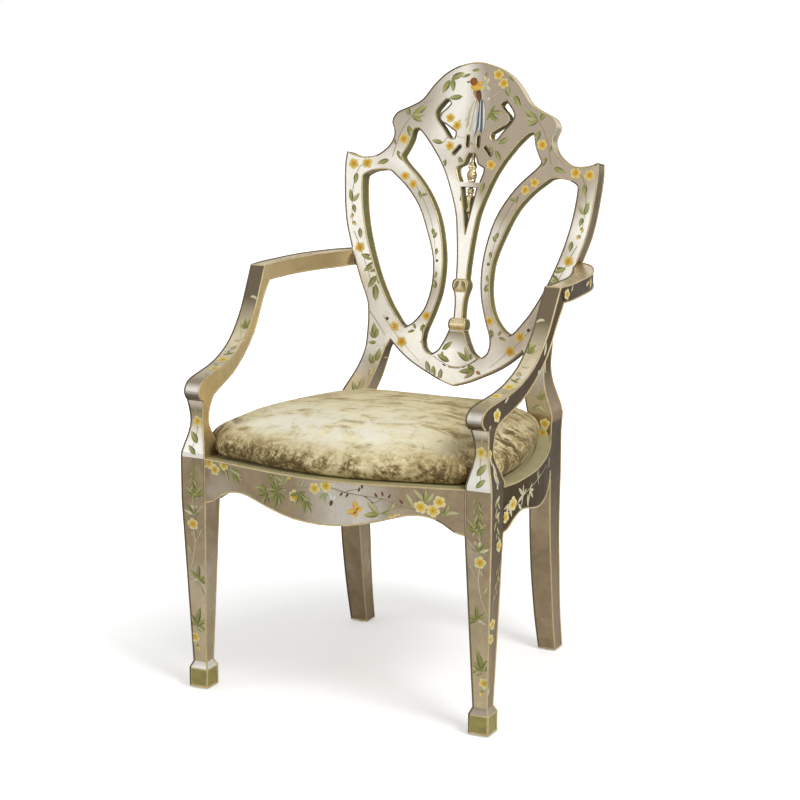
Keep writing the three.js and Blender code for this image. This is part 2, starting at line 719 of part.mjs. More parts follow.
// Stile part of a rear leg, in the shield's frame
function stile() {
  const inner = outline(run(postJoinShare), flankLine, run(paneOuterShare));
  return sawn(outline(inner, stileHeadLine, reversed(run(stileOuterShare))), bowedBlank());
}

const shieldPlace = [1, 0, 0, 0, 0, Math.sin(shieldRake), Math.cos(shieldRake), 0, 0, -Math.cos(shieldRake),
  Math.sin(shieldRake), 0, 0, shieldTipY, shieldTipHeight, 1];
const toWorld = (solid) => solid.transform(shieldPlace);

function rearLeg() {
  const back = seatDepth + rearLegDepth + rearKick + 2 * postLean;
  const face = solidOf(frontPrism(legFrontFace(), seatDepth - overrun, back));
  const lower = face.intersect(solidOf(sidePrism(legSideFace(), -overrun, rearLegOuter + overrun)));
  return lower.add(toWorld(stile().add(jointBar(stileHeadShare, jointTurns.stileHead, 1, 0))))
    .subtract(toWorld(jointBar(flankShare, jointTurns.flank, 1, gap)))
    .subtract(sideRearTenon(gap))
    .subtract(rearTenon(1, gap))
    .subtract(elbowDowel(gap))
    .subtract(pinHole(...rearFootSpot));
}

// Arms: the elbow lies level, the sweep drops from its front end to the support
const elbowOuterShare = [[0, 0], [0.12, -0.07], [0.22, -0.05], [0.35, 0.01], [0.47, 0.066],
  [0.58, 0.16], [0.69, 0.34],
  [0.81, 0.6], [0.9, 0.85], [0.96, 1.11], [1, 1.42], [1.01, 1.62]];
const elbowInnerShare = [[0, 0], [0.12, -0.03], [0.23, 0], [0.35, 0.03], [0.46, 0.138], [0.58, 0.29],
  [0.69, 0.53],
  [0.81, 0.786], [0.9, 0.91], [0.9, 1.06]];
const armMiddle = armTop - armThickness / 2;
const armEndShare = 0.84;
const stileFrontY = shieldTipY + (armMiddle - shieldTipHeight) * Math.tan(shieldRake);
const elbowReach = stileFrontY + armEndShare * shieldThickness - armBendY;

// Half width of the shield at a height above the floor
function shieldEdgeAt(height) {
  const v = (height - shieldTipHeight) / Math.cos(shieldRake);
  const edge = run(stileOuterShare);
  const above = Math.max(edge.findIndex((point) => point[1] > v), 1);
  const [[u0, v0], [u1, v1]] = [edge[above - 1], edge[above]];
  return u0 + ((v - v0) / (v1 - v0)) * (u1 - u0);
}

const stileEdge = shieldEdgeAt(armMiddle);

function elbowPlan() {
  const draw = armBendInner - stileEdge;
  const place = (edge) => ([y, x]) => [edge - x * draw, armBendY + y * elbowReach];
  const outer = smooth(elbowOuterShare.map(place(armBendInner + armWidth)), 2);
  const inner = smooth(elbowInnerShare.map(place(armBendInner)), 2);
  return outline(outer, reversed(inner));
}

function elbow() {
  const points = elbowPlan();
  const slab = solidOf(prism(points, armTop - armThickness, armTop));
  const bottom = armTop - armThickness;
  const wedge = [[armBendY - overrun, armTop + overrun], [armBendY, armTop],
    [armBendY + armMitreRun, bottom], [armBendY + armMitreRun, bottom - overrun],
    [armBendY - overrun, bottom - overrun]];
  const mitre = solidOf(sidePrism(wedge, armBendInner - armWidth, armBendInner + 2 * armWidth));
  return slab.subtract(mitre).subtract(stileCutter()).subtract(elbowDowel(gap)).subtract(mitreDowel(gap));
}

// Everything inside the outer line of the shield, grown by the glue gap
function stileCutter() {
  const edge = run(stileOuterShare).map(([u, v]) => [u + gap, v]);
  const points = [...edge, [shieldHalf / 2, edge[edge.length - 1][1]], [shieldHalf / 2, edge[0][1]]];
  return toWorld(solidOf(prism(points, -3 * shieldThickness, 3 * shieldThickness)));
}

function elbowDowel(grow) {
  const half = dowelLength / 2 + grow;
  const bar = rod(dowelRadius + grow, -half, half).rotateY(Math.PI / 2);
  return solidOf(bar.translate(stileEdge, stileFrontY + shieldThickness / 2 - bowAt(stileEdge), armMiddle));
}

const sweepLength = armBendY - legDepth / 2;

function mitreDowel(grow) {
  const tilt = Math.atan2(armThickness, armMitreRun);
  const half = dowelLength / 2 + grow;
  const bar = rod(dowelRadius + grow, -half, half).rotateX(Math.PI - tilt);
  const x = armBendInner + armWidth / 2;
  return solidOf(bar.translate(x, armBendY + armMitreRun / 2, armMiddle));
}

// Side view of the sweep: [share of its length from the support, share of its drop]
const sweepTopShare = [[1, 1], [0.89, 0.78], [0.82, 0.645], [0.72, 0.508], [0.6, 0.385], [0.42, 0.284],
  [0.24, 0.23], [0, 0.192],
  [-0.09, 0.16], [-0.13, 0.105], [-0.12, 0.05], [-0.085, 0.014]];
const sweepSeatShare = [[-0.085, 0.014], [-0.055, 0], [0.08, 0]];
const sweepBottomShare = [[0.08, 0], [0.12, 0.028], [0.25, 0.078], [0.42, 0.142], [0.61, 0.262],
  [0.79, 0.43],
  [0.89, 0.588], [0.97, 0.73], [1.069, 0.863]];

function sweepFace() {
  const drop = armTop - supportTop;
  const place = ([s, z]) => [legDepth / 2 + s * sweepLength, supportTop + gap + z * (drop - gap)];
  const top = smooth(sweepTopShare.map(place), 2).slice(1);
  const bottom = smooth(sweepBottomShare.map(place), 2).slice(0, -1);
  const mitre = [[armBendY + armMitreRun - gap, armTop - armThickness], [armBendY - gap, armTop]];
  return outline(top, sweepSeatShare.map(place), bottom, mitre);
}

function sweep() {
  const drift = armBendInner - armFrontInner;
  const board = sidePrism(sweepFace(), 0, armWidth);
  const position = board.attributes.position;
  for (let i = 0; i < position.count; i++) {
    const s = (position.getY(i) - legDepth / 2) / sweepLength;
    position.setX(i, position.getX(i) + armFrontInner + Math.min(s, 1) * drift);
  }
  return solidOf(board).subtract(neckDowel(gap)).subtract(mitreDowel(gap));
}

// Corner blocks, glued and screwed into the frame, and the board that rests on them
function blockPlan(front) {
  const inside = sideEdge(sideRailWidth + gap);
  if (front) {
    const near = inside.filter(([, y]) => y < legDepth + blockReach);
    const y = (x) => frontEdge(x) + railThickness + gap;
    const edge = [legInner - blockReach, legInner - blockReach / 2, legInner - gap].map((x) => [x, y(x)]);
    return outline(edge, [[legInner - gap, legDepth + gap]], near);
  }
  const near = inside.filter(([, yy]) => yy > seatDepth - blockReach);
  const back = rearRailFront - gap;
  const inner = rearLegInner - gap;
  const corner = [[rearLegInner - blockReach, back], [inner, back], [inner, seatDepth - gap]];
  return outline(corner, reversed(near));
}

const boardBottom = railTop - boardThickness;
const blockTop = boardBottom - gap;
const blockBottom = blockTop - blockHeight;
const seatScrewSpots = [
  { name: 'front', x: legInner - blockReach / 3, y: legDepth + blockReach / 5 },
  { name: 'rear', x: rearLegInner - blockReach / 4, y: seatDepth - blockReach / 4 },
];

const screwProfile = [[screwHeadRadius, 0], [screwHeadRadius, screwHeadDepth / 3],
  [screwShankRadius, screwHeadDepth]];

// A screw along its own z, head down; grown, it is its countersunk hole
function screwShape(length, grow) {
  const profile = screwProfile.map(([r, z]) => [r + grow, z]);
  profile[0][1] = -grow * overrun;
  return turned([...profile, [screwShankRadius + grow, length + grow]], 10);
}

function seatScrew(spot, grow) {
  return solidOf(screwShape(blockHeight + screwGrip, grow).translate(spot.x, spot.y, blockBottom + gap));
}

function cornerBlock(front) {
  const spot = seatScrewSpots[front ? 0 : 1];
  return solidOf(prism(blockPlan(front), blockBottom, blockTop)).subtract(seatScrew(spot, gap));
}

function boardPlan() {
  const notch = legInner - boardClearance;
  const front = frontRun(railThickness + boardClearance, notch);
  const rear = seatDepth - boardClearance;
  const between = ([, y]) => y > legDepth + boardClearance && y < rear - gap;
  const side = sideEdge(sideRailWidth + boardClearance).filter(between);
  const tail = rearLegInner - boardClearance;
  const right = [[notch, legDepth + boardClearance], ...side, [tail, rear],
    [tail, rearRailFront - boardClearance]];
  return outline(front, right, reversed(mirrored(right)));
}

function seatBoard() {
  let board = solidOf(prism(boardPlan(), boardBottom, railTop));
  for (const spot of seatScrewSpots) {
    for (const side of [1, -1]) board = board.subtract(mirrorX(seatScrew(spot, gap), side));
  }
  return board;
}

// Cushion: its plan drawn in towards the middle ring by ring, and swollen between
const cushionRingShare = [[0, 0.955], [0.1, 0.985], [0.25, 1], [0.4, 0.992], [0.56, 0.95],
  [0.72, 0.85], [0.86, 0.68], [0.95, 0.45], [1, 0.2]];

function cushionPlan() {
  const reach = legInner - cushionSetback;
  const front = frontRun(cushionSetback, reach, 14);
  const corner = [[legInner - cushionRelief, legDepth],
    [legInner + legWidth / 4, supportFoot + cushionRelief]];
  const between = ([, y]) => y > supportFoot + cushionSetback && y < seatDepth - cushionSetback;
  const side = sideEdge(cushionLedge).filter(between);
  const rear = [[rearLegInner + cushionRelief, seatDepth - cushionRelief]];
  const right = [...corner, ...side, ...rear];
  return outline(front, right, reversed(mirrored(right)));
}

function cushion() {
  const plan = cushionPlan();
  const centre = [0, seatDepth / 2];
  const bottom = railTop + gap;
  const rings = cushionRingShare.map(([rise, scale]) => plan.map(([x, y]) => [
    centre[0] + (x - centre[0]) * scale,
    centre[1] + (y - centre[1]) * scale,
    bottom + rise * (cushionHeight - gap),
  ]));
  return solidOf(loft(rings));
}

function glide(x, y) {
  const disc = [[glideRadius, 0], [glideRadius, glideHeight], [glidePinRadius, glideHeight]];
  return turned([...disc, [glidePinRadius, glideHeight + glidePinLength]], 16).translate(x, y, 0);
}

// Turned pieces in the slot: [radius share, height share] from the bottom
const upperFinialShare = [[0.3, 0], [0.68, 0.02], [0.72, 0.06], [0.68, 0.1], [0.5, 0.13], [0.8, 0.17],
  [0.95, 0.26], [0.82, 0.36], [0.5, 0.42], [0.76, 0.5], [0.78, 0.58], [0.58, 0.68], [0.36, 0.74], [0.3, 1]];
const dropFinialShare = [[0.05, 0], [0.15, 0.4], [0.3, 0.44], [0.56, 0.46], [0.6, 0.5], [0.54, 0.54],
  [0.36, 0.57], [0.54, 0.6], [0.7, 0.76], [0.74, 0.79], [0.5, 0.81], [0.36, 0.86], [0.55, 0.89],
  [0.55, 0.95], [0.3, 0.97], [0.3, 1]];
const upperFinialSpanShare = [0.6325, 0.722];
const dropFinialSpanShare = [0.478, 0.6175];

function finial(table, [low, high]) {
  const [v0, v1] = [low * shieldRise + gap, high * shieldRise - gap];
  const profile = table.map(([r, t]) => [r * finialRadius, v0 + t * (v1 - v0)]);
  return solidOf(turned(profile, 12).rotateX(-Math.PI / 2).translate(0, 0, -ribThickness / 2));
}

const chair = new THREE.Group();
const shield = new THREE.Group();
shield.position.set(0, shieldTipY, shieldTipHeight);
shield.rotation.x = Math.PI / 2 - shieldRake;
chair.add(shield);

for (const side of [1, -1]) {
  const hand = sideName(side);
  const add = (name, solid, look) => chair.add(named(`${name}_${hand}`, mirrorX(solid, side), look));
  add('front_leg', frontLeg(), silverLeaf);
  add('rear_leg', rearLeg(), silverLeaf);
  add('side_rail', sideRail(), silverLeaf);
  add('arm_support', armSupport(), silverLeaf);
  add('arm_sweep', sweep(), silverLeaf);
  add('arm_elbow', elbow(), silverLeaf);
  add('neck_dowel', neckDowel(0), rawWood);
  add('mitre_dowel', mitreDowel(0), rawWood);
  add('arm_dowel', elbowDowel(0), rawWood);
  add('corner_block_front', cornerBlock(true), rawWood);
  add('corner_block_rear', cornerBlock(false), rawWood);
  for (const spot of seatScrewSpots) add(`seat_screw_${spot.name}`, seatScrew(spot, 0), steel);
  add('glide_front', solidOf(glide(frontLegCentre, legDepth / 2)), darkFelt);
  add('glide_rear', solidOf(glide(...rearFootSpot)), darkFelt);
  shield.add(named(`shield_rib_${hand}`, mirrorX(rib(), side), silverLeaf));
}
chair.add(named('front_rail', frontRail(), silverLeaf));
chair.add(named('rear_rail', rearRail(), silverLeaf));
chair.add(named('seat_board', seatBoard(), rawWood));
chair.add(named('seat_cushion', cushion(), velvet));
shield.add(named('shield_base', shieldBase(), silverLeaf));
shield.add(named('crest_rail', crestRail(), silverLeaf));
shield.add(named('splat', splat(), silverLeaf));
shield.add(named('slot_finial', finial(upperFinialShare, upperFinialSpanShare), silverLeaf));
shield.add(named('slot_drop', finial(dropFinialShare, dropFinialSpanShare), silverLeaf));

// The origin is the middle of the footprint, on the floor
chair.updateMatrixWorld(true);
const bounds = new THREE.Box3().setFromObject(chair, true);
chair.position.set(0, -(bounds.min.y + bounds.max.y) / 2, 0);

export default chair;
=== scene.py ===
"""Painted silver-leaf armchair with a shield back: finish, cushion, ornament and studio."""

import math
import random

import bmesh
import bpy
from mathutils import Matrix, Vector
from mathutils.bvhtree import BVHTree


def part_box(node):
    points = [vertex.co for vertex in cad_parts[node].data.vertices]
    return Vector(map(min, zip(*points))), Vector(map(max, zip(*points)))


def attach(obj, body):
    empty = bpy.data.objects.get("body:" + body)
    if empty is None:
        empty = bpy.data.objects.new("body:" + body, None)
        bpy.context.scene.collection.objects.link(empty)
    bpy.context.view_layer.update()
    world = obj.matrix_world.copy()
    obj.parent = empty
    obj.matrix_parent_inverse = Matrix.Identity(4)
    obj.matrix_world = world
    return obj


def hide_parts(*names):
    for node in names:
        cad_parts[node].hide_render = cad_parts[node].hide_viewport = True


bl_info = {
    "name": "Shield Back Armchair",
    "version": (1, 0, 0),
    "blender": (4, 5, 0),
    "location": "View3D > Sidebar > Chair",
    "description": "Finishes, cushion, painted ornament and studio for a shield back armchair",
    "category": "Object",
}

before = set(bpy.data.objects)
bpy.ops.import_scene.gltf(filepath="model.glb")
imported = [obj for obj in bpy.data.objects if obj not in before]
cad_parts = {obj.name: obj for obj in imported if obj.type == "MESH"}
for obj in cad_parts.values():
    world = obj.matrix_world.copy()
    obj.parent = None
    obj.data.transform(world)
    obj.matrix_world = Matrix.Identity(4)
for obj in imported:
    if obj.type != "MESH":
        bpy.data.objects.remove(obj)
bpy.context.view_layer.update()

MM = 0.001
SIDES = ("right", "left")


def corner(node, top):
    """Lowest or highest corner of a node of the frame."""
    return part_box(node)[1 if top else 0]


SEAT_TOP = corner("front_rail", True).z
LEG_FRONT = corner("front_leg_right", False).y
SHIELD_FOOT = corner("shield_base", False)
SHIELD_TOP = corner("crest_rail", True)


# Settings

COLOUR = {"subtype": "COLOR", "size": 3, "min": 0.0, "max": 1.0}
LENGTH = {"subtype": "DISTANCE", "unit": "LENGTH"}
PLACE = {"subtype": "TRANSLATION", "unit": "LENGTH", "size": 3}


class ChairFinish(bpy.types.PropertyGroup):
    """Colours and line widths of the chair's finish."""

    leaf_light: bpy.props.FloatVectorProperty(
        name="Leaf light", description="Lighter tone of the silver leaf",
        default=(0.48, 0.365, 0.225), **COLOUR)
    leaf_dark: bpy.props.FloatVectorProperty(
        name="Leaf dark", description="Tarnished tone of the silver leaf",
        default=(0.25, 0.185, 0.115), **COLOUR)
    # The shield's leaf takes a lighter, lit tone than the frame below it: painted light.
    shield_light: bpy.props.FloatVectorProperty(
        name="Shield light", description="Lighter tone of the fresh leaf on the shield",
        default=(0.96, 0.925, 0.83), **COLOUR)
    shield_dark: bpy.props.FloatVectorProperty(
        name="Shield dark", description="Darker tone of the fresh leaf on the shield",
        default=(0.42, 0.35, 0.26), **COLOUR)
    warm_leaf: bpy.props.FloatVectorProperty(
        name="Warm leaf", description="Yellow-toned leaf inside the arms",
        default=(0.79, 0.61, 0.31), **COLOUR)
    # Umber and rail umber are painted shade on the faces that look out to the sides.
    umber: bpy.props.FloatVectorProperty(
        name="Umber", description="Dark glaze on the outer sides",
        default=(0.165, 0.12, 0.07), **COLOUR)
    rail_umber: bpy.props.FloatVectorProperty(
        name="Rail umber", description="Darker glaze on the outer faces of the side rails",
        default=(0.10, 0.072, 0.04), **COLOUR)
    gilt: bpy.props.FloatVectorProperty(
        name="Gilt", description="Gilt line along the edges",
        default=(0.76, 0.61, 0.34), **COLOUR)
    olive: bpy.props.FloatVectorProperty(
        name="Olive", description="Paint on the walls of the shield's openings",
        default=(0.21, 0.195, 0.052), **COLOUR)
    pale_green: bpy.props.FloatVectorProperty(
        name="Pale green", description="Paint on the ledge of the side rails",
        default=(0.53, 0.475, 0.25), **COLOUR)
    foot_green: bpy.props.FloatVectorProperty(
        name="Foot green", description="Paint on the panels of the spade feet",
        default=(0.42, 0.36, 0.11), **COLOUR)
    velvet_light: bpy.props.FloatVectorProperty(
        name="Velvet light", description="Velvet where the pile lies towards the light",
        default=(0.97, 0.885, 0.575), **COLOUR)
    velvet_tan: bpy.props.FloatVectorProperty(
        name="Velvet tan", description="Velvet where the pile stands half up",
        default=(0.54, 0.42, 0.20), **COLOUR)
    velvet_dark: bpy.props.FloatVectorProperty(
        name="Velvet dark", description="Velvet where the pile lies away from the light",
        default=(0.15, 0.105, 0.04), **COLOUR)
    gilt_bead: bpy.props.FloatProperty(
        name="Gilt bead", description="Radius of the gilt line along an edge",
        default=1.35 * MM, min=0.2 * MM, max=3 * MM, **LENGTH)


class ChairCushion(bpy.types.PropertyGroup):
    """How the seat cushion is filled."""

    voxel: bpy.props.FloatProperty(
        name="Voxel", description="Grid of the cloth before it is filled",
        default=6 * MM, min=3 * MM, max=12 * MM, **LENGTH)
    pressure: bpy.props.FloatProperty(
        name="Pressure", description="Filling pressure of the cloth", default=4.0, min=0.0)
    swell: bpy.props.FloatProperty(
        name="Swell", description="Furthest that the filling moves the cloth",
        default=2.5 * MM, min=0.0, max=30 * MM, **LENGTH)
    spread: bpy.props.FloatProperty(
        name="Spread", description="How far the lower edge spreads over the ledge",
        default=5 * MM, min=0.0, max=10 * MM, **LENGTH)
    crown_drop: bpy.props.FloatProperty(
        name="Crown drop", description="How far the crown sinks at the back",
        default=9 * MM, min=0.0, max=20 * MM, **LENGTH)
    frames: bpy.props.IntProperty(
        name="Frames", description="Frames of the cloth simulation", default=20, min=2)


class ChairStudio(bpy.types.PropertyGroup):
    """Camera and lamps."""

    eye: bpy.props.FloatVectorProperty(
        name="Eye", description="Place of the camera",
        default=(1.5564, LEG_FRONT - 2.8996, 1.1891), **PLACE)
    target: bpy.props.FloatVectorProperty(
        name="Target", description="Point that the camera looks at",
        default=(0.0635, LEG_FRONT + 0.109, 0.4856), **PLACE)
    lens: bpy.props.FloatProperty(
        name="Lens", description="Focal length on a 36 mm sensor, in millimetres",
        default=99.58, min=10.0)
    key_power: bpy.props.FloatProperty(
        name="Key", description="Power of the lamp at the right", unit="POWER", default=48.0)
    fill_power: bpy.props.FloatProperty(
        name="Fill", description="Power of the lamp at the left", unit="POWER", default=9.0)
    sky_level: bpy.props.FloatProperty(
        name="Sky", description="Level of the light from all around", default=0.42, min=0.0)


def finish():
    return bpy.context.scene.chair_finish


def scaled(tone, share):
    return [value * share for value in tone]


# Selecting and editing

def deselect():
    bpy.ops.object.select_all(action="DESELECT")


def pick(piece):
    deselect()
    piece.select_set(True)
    bpy.context.view_layer.objects.active = piece


def in_edit_mode(piece, work):
    """Runs mesh operators on all of a piece."""
    pick(piece)
    bpy.ops.object.mode_set(mode="EDIT")
    bpy.ops.mesh.select_all(action="SELECT")
    work()
    bpy.ops.object.mode_set(mode="OBJECT")


def mark_only(piece, elements):
    """Leaves only some vertices, edges or faces of a piece marked for the next edit."""
    for each in (*piece.data.vertices, *piece.data.edges, *piece.data.polygons):
        each.select = False
    for each in elements:
        each.select = True
    pick(piece)


def apply_modifier(piece, modifier):
    pick(piece)
    bpy.ops.object.modifier_apply(modifier=modifier.name)


def place(piece, slot, *nodes):
    """Puts a finished piece on the chair, in the place of its nodes."""
    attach(piece, "root")
    if nodes:
        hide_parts(*nodes)
    return piece


# Shader building

SURFACE_INPUTS = {
    "specular": "Specular IOR Level", "sheen": "Sheen Weight", "sheen_roughness": "Sheen Roughness",
    "sheen_tint": "Sheen Tint", "glow": "Emission Color", "glow_strength": "Emission Strength",
}
LEAF_RELIEF = 0.3 * MM
WARM_DEPTH = 0.66
LAP_SIZE = 11.0


class Shader:
    """Node tree of a material, world or node group, with short calls to add and join nodes."""

    def __init__(self, tree):
        self.tree = tree

    def node(self, kind, inputs=None, **settings):
        """A new node; inputs gives its sockets values, or joins them to outputs."""
        made = self.tree.nodes.new(kind)
        for key, value in settings.items():
            setattr(made, key, value)
        for name, value in (inputs or {}).items():
            self.put(made, name, value)
        return made

    def put(self, node, name, value):
        if isinstance(value, bpy.types.NodeSocket):
            self.tree.links.new(value, node.inputs[name])
        else:
            node.inputs[name].default_value = value

    def noise(self, vector, scale, detail=3.0, roughness=0.5, distortion=0.0):
        return self.node("ShaderNodeTexNoise", {
            "Vector": vector, "Scale": scale, "Detail": detail, "Roughness": roughness,
            "Distortion": distortion}).outputs["Fac"]

    def stretched(self, vector, turn, scale):
        """Coordinates turned and drawn out, for grain that runs one way."""
        return self.node("ShaderNodeMapping", {
            "Vector": vector, "Rotation": turn, "Scale": scale}).outputs["Vector"]

    def axes(self, vector):
        return self.node("ShaderNodeSeparateXYZ", {"Vector": vector}).outputs

    def spread(self, value, low, high, to_low=0.0, to_high=1.0):
        return self.node("ShaderNodeMapRange", {
            "Value": value, "From Min": low, "From Max": high, "To Min": to_low,
            "To Max": to_high}).outputs["Result"]

    def blend(self, factor, first, second):
        made = self.node("ShaderNodeMix", {"Factor": factor}, data_type="RGBA")
        for label, tone in (("A", first), ("B", second)):
            target = [s for s in made.inputs if s.name == label and s.type == "RGBA"][0]
            if isinstance(tone, bpy.types.NodeSocket):
                self.tree.links.new(tone, target)
            else:
                target.default_value = (*tone[:3], 1.0)
        return [s for s in made.outputs if s.type == "RGBA"][0]

    def sum(self, first, second, kind="ADD"):
        return self.node("ShaderNodeMath", {0: first, 1: second}, operation=kind).outputs[0]

    def times(self, first, *others):
        for other in others:
            first = self.sum(first, other, "MULTIPLY")
        return first

    def most(self, first, second):
        return self.sum(first, second, "MAXIMUM")

    def absolute(self, value):
        return self.sum(value, 0.0, "ABSOLUTE")


class Surface(Shader):
    """A material with a Principled BSDF; cloud and rub are the scales of its masks of leaf."""

    def __init__(self, name, cloud=None, rub=None):
        self.material = bpy.data.materials.new(name)
        self.material.use_nodes = True
        super().__init__(self.material.node_tree)
        self.tree.nodes.clear()
        self.principled = self.node("ShaderNodeBsdfPrincipled")
        self.node("ShaderNodeOutputMaterial", {"Surface": self.principled.outputs["BSDF"]})
        self.coords = self.node("ShaderNodeTexCoord").outputs["Object"]
        self.x, self.y, self.z = self.axes(self.coords)
        if cloud:
            group = bpy.data.node_groups.get("hand_laid_leaf") or hand_laid_leaf()
            leaf = self.node("ShaderNodeGroup", {"Cloud Scale": cloud, "Rub Scale": rub},
                             node_tree=group)
            self.cloud, self.rub, self.lap = leaf.outputs

    def above_seat(self, low, high, to_low=0.0, to_high=1.0):
        """Mask between two heights above the seat rail, in millimetres."""
        return self.spread(self.z, SEAT_TOP + low * MM, SEAT_TOP + high * MM, to_low, to_high)

    def coat(self, tone, roughness, metallic=0.0, **others):
        """Sets the surface; a roughness given as a mask and two values runs between the two."""
        if isinstance(roughness, tuple):
            mask, low, high = roughness
            roughness = self.spread(mask, 0.0, 1.0, low, high)
        self.put(self.principled, "Base Color", tone)
        self.put(self.principled, "Roughness", roughness)
        self.put(self.principled, "Metallic", metallic)
        for name, value in others.items():
            self.put(self.principled, SURFACE_INPUTS[name], value)
        return self.material

    def bump(self, height, strength, distance=LEAF_RELIEF):
        made = self.node("ShaderNodeBump", {
            "Strength": strength, "Distance": distance, "Height": height})
        self.put(self.principled, "Normal", made.outputs["Normal"])


def hand_laid_leaf():
    """Node group with cloudy tarnish, fine rubbing and laps of hand-laid leaf."""
    group = bpy.data.node_groups.new("hand_laid_leaf", "ShaderNodeTree")
    for label in ("Cloud Scale", "Rub Scale"):
        group.interface.new_socket(label, in_out="INPUT", socket_type="NodeSocketFloat")
    for label in ("Cloud", "Rub", "Lap"):
        group.interface.new_socket(label, in_out="OUTPUT", socket_type="NodeSocketFloat")
    tree = Shader(group)
    given = tree.node("NodeGroupInput").outputs
    coords = tree.node("ShaderNodeTexCoord").outputs["Object"]
    cloud = tree.noise(coords, given["Cloud Scale"], 4.0, 0.62, 0.8)
    rub = tree.noise(coords, given["Rub Scale"], 5.0, 0.7, 0.4)
    squares = tree.node("ShaderNodeTexVoronoi", {"Vector": coords, "Scale": LAP_SIZE},
                        feature="DISTANCE_TO_EDGE")
    tree.node("NodeGroupOutput", {
        "Cloud": tree.spread(cloud, 0.3, 0.7), "Rub": tree.spread(rub, 0.3, 0.7),
        "Lap": tree.spread(squares.outputs["Distance"], 0.0, 0.02, 1.0, 0.0)})
    return group


# Materials

def leafed_wood():
    """Aged silver leaf: taupe, with brighter fields at random, a painted reflection near the middle and
    painted light low on the front legs.
    """
    m = Surface("leafed_wood", 30.0, 260.0)
    light, dark, lamplit = finish().leaf_light, finish().leaf_dark, finish().shield_light
    broad = m.noise(m.coords, 7.5, 2.0, 0.5, 0.6)
    # Painted reflection: a bright upright band a little right of the middle, clouded; it falls on the
    # front rail.
    from_centre = m.absolute(m.sum(m.x, 42 * MM, "SUBTRACT"))
    centre = m.times(m.spread(from_centre, 22 * MM, 88 * MM, 0.95, 0.0), broad, 1.3)
    field = m.spread(broad, 0.58, 0.76, 0.0, 0.45)
    tone = m.blend(m.times(m.cloud, 0.7), light, dark)
    bright = m.blend(m.most(field, centre), tone, lamplit)
    # Painted light: the fronts of the front legs turn lighter and warmer towards the floor, in clouds.
    front = m.spread(m.y, -0.20, -0.10, 1.0, 0.0)
    low = m.spread(m.z, 30 * MM, 280 * MM, 0.9, 0.0)
    pale = m.blend(m.times(low, front, broad), bright, (0.95, 0.80, 0.50))
    worn_and_eased = m.blend(m.spread(m.rub, 0.55, 1.0, 0.0, 0.3), pale, dark)
    m.bump(m.rub, 0.08)
    return m.coat(m.blend(m.times(m.lap, 0.03), worn_and_eased, lamplit), (m.cloud, 0.27, 0.36), 0.85)


def pale_leaf():
    """Silver leaf in a lighter, lit tone as painted light, clouded in broad fields and darker towards the
    seat.
    """
    m = Surface("pale_leaf", 24.0, 240.0)
    light, dark = finish().shield_light, finish().shield_dark
    # Painted reflection: the leaf is lighter left of the middle, darker to the right and a little lighter
    # again by the right ear.
    rise = m.spread(m.x, -20 * MM, 50 * MM, -0.09, 0.14)
    fall = m.spread(m.x, 175 * MM, 225 * MM, 0.0, -0.10)
    broad = m.sum(m.noise(m.coords, 5.5, 2.0, 0.5, 0.5), m.sum(rise, fall))
    clouded = m.blend(m.times(m.cloud, 0.16), m.blend(m.spread(broad, 0.47, 0.68), light, dark), dark)
    aside = m.absolute(m.x)
    # Painted shade on the bell of the splat, just under its lower roll.
    neck = m.spread(m.z, SHIELD_FOOT.z + 62 * MM, SHIELD_FOOT.z + 92 * MM)
    under = m.spread(m.z, SHIELD_FOOT.z + 93 * MM, SHIELD_FOOT.z + 96 * MM, 1.0, 0.0)
    bell = m.times(neck, under, m.spread(aside, 20 * MM, 32 * MM, 0.9, 0.0))
    shaded = m.blend(bell, clouded, (0.23, 0.18, 0.085))
    low = m.above_seat(56, 104, 0.92, 0.0)
    behind = m.spread(m.y, 0.0, 60 * MM)
    wide = m.spread(aside, 128 * MM, 138 * MM)
    seated = m.blend(m.times(low, behind, wide), shaded, scaled(finish().warm_leaf, WARM_DEPTH))
    stile = m.times(m.above_seat(92, 112), m.above_seat(170, 205, 1.0, 0.0), wide)
    foot = m.spread(m.z, 60 * MM, 62 * MM, 1.0, 0.0)
    m.bump(m.rub, 0.02)
    return m.coat(seated, (m.cloud, 0.20, 0.28), m.spread(m.most(stile, foot), 0.0, 1.0, 0.85, 0.30))


def warm_leaf():
    """Yellow-toned leaf, clouded lighter and darker."""
    m = Surface("warm_leaf", 28.0, 260.0)
    light = finish().warm_leaf
    m.bump(m.rub, 0.01)
    return m.coat(m.blend(m.times(m.cloud, 0.6), light, scaled(light, WARM_DEPTH)),
                  (m.cloud, 0.26, 0.33), 0.7)


def bright_gold():
    """Burnished gold leaf of the turnings."""
    m = Surface("bright_gold", 70.0, 300.0)
    return m.coat(m.blend(m.times(m.cloud, 0.8), (0.96, 0.82, 0.52), (0.62, 0.46, 0.20)),
                  (m.rub, 0.16, 0.24), 0.95)


def scroll_leaf():
    """Smooth, closely burnished leaf on the backs of the arms, with painted reflections: a bright band on
    the scroll, and the sweep light low down and dark high up.
    """
    m = Surface("scroll_leaf", 26.0, 260.0)
    high = m.above_seat(165, 225)
    above = m.above_seat(119, 130)
    # Painted reflection: a bright band round the scroll between dark leaf.
    from_band = m.absolute(m.sum(m.z, SEAT_TOP + 112 * MM, "SUBTRACT"))
    band = m.spread(from_band, 2 * MM, 10 * MM, 1.0, 0.0)
    scroll = m.blend(band, (0.18, 0.135, 0.08), (1.0, 0.95, 0.85))
    # Painted reflection on the sweep: light low down, dark high up.
    sweep = m.blend(high, (0.94, 0.82, 0.55), (0.25, 0.20, 0.13))
    fall = m.times(above, m.spread(high, 0.0, 1.0, 0.55, 0.0))
    lit = m.most(m.times(band, m.spread(above, 0.0, 1.0, 1.0, 0.0)), fall)
    m.bump(m.rub, 0.02)
    return m.coat(m.blend(m.times(m.cloud, 0.3), m.blend(above, scroll, sweep), finish().leaf_dark),
                  (m.rub, 0.15, 0.22), m.spread(lit, 0.0, 1.0, 0.92, 0.06))


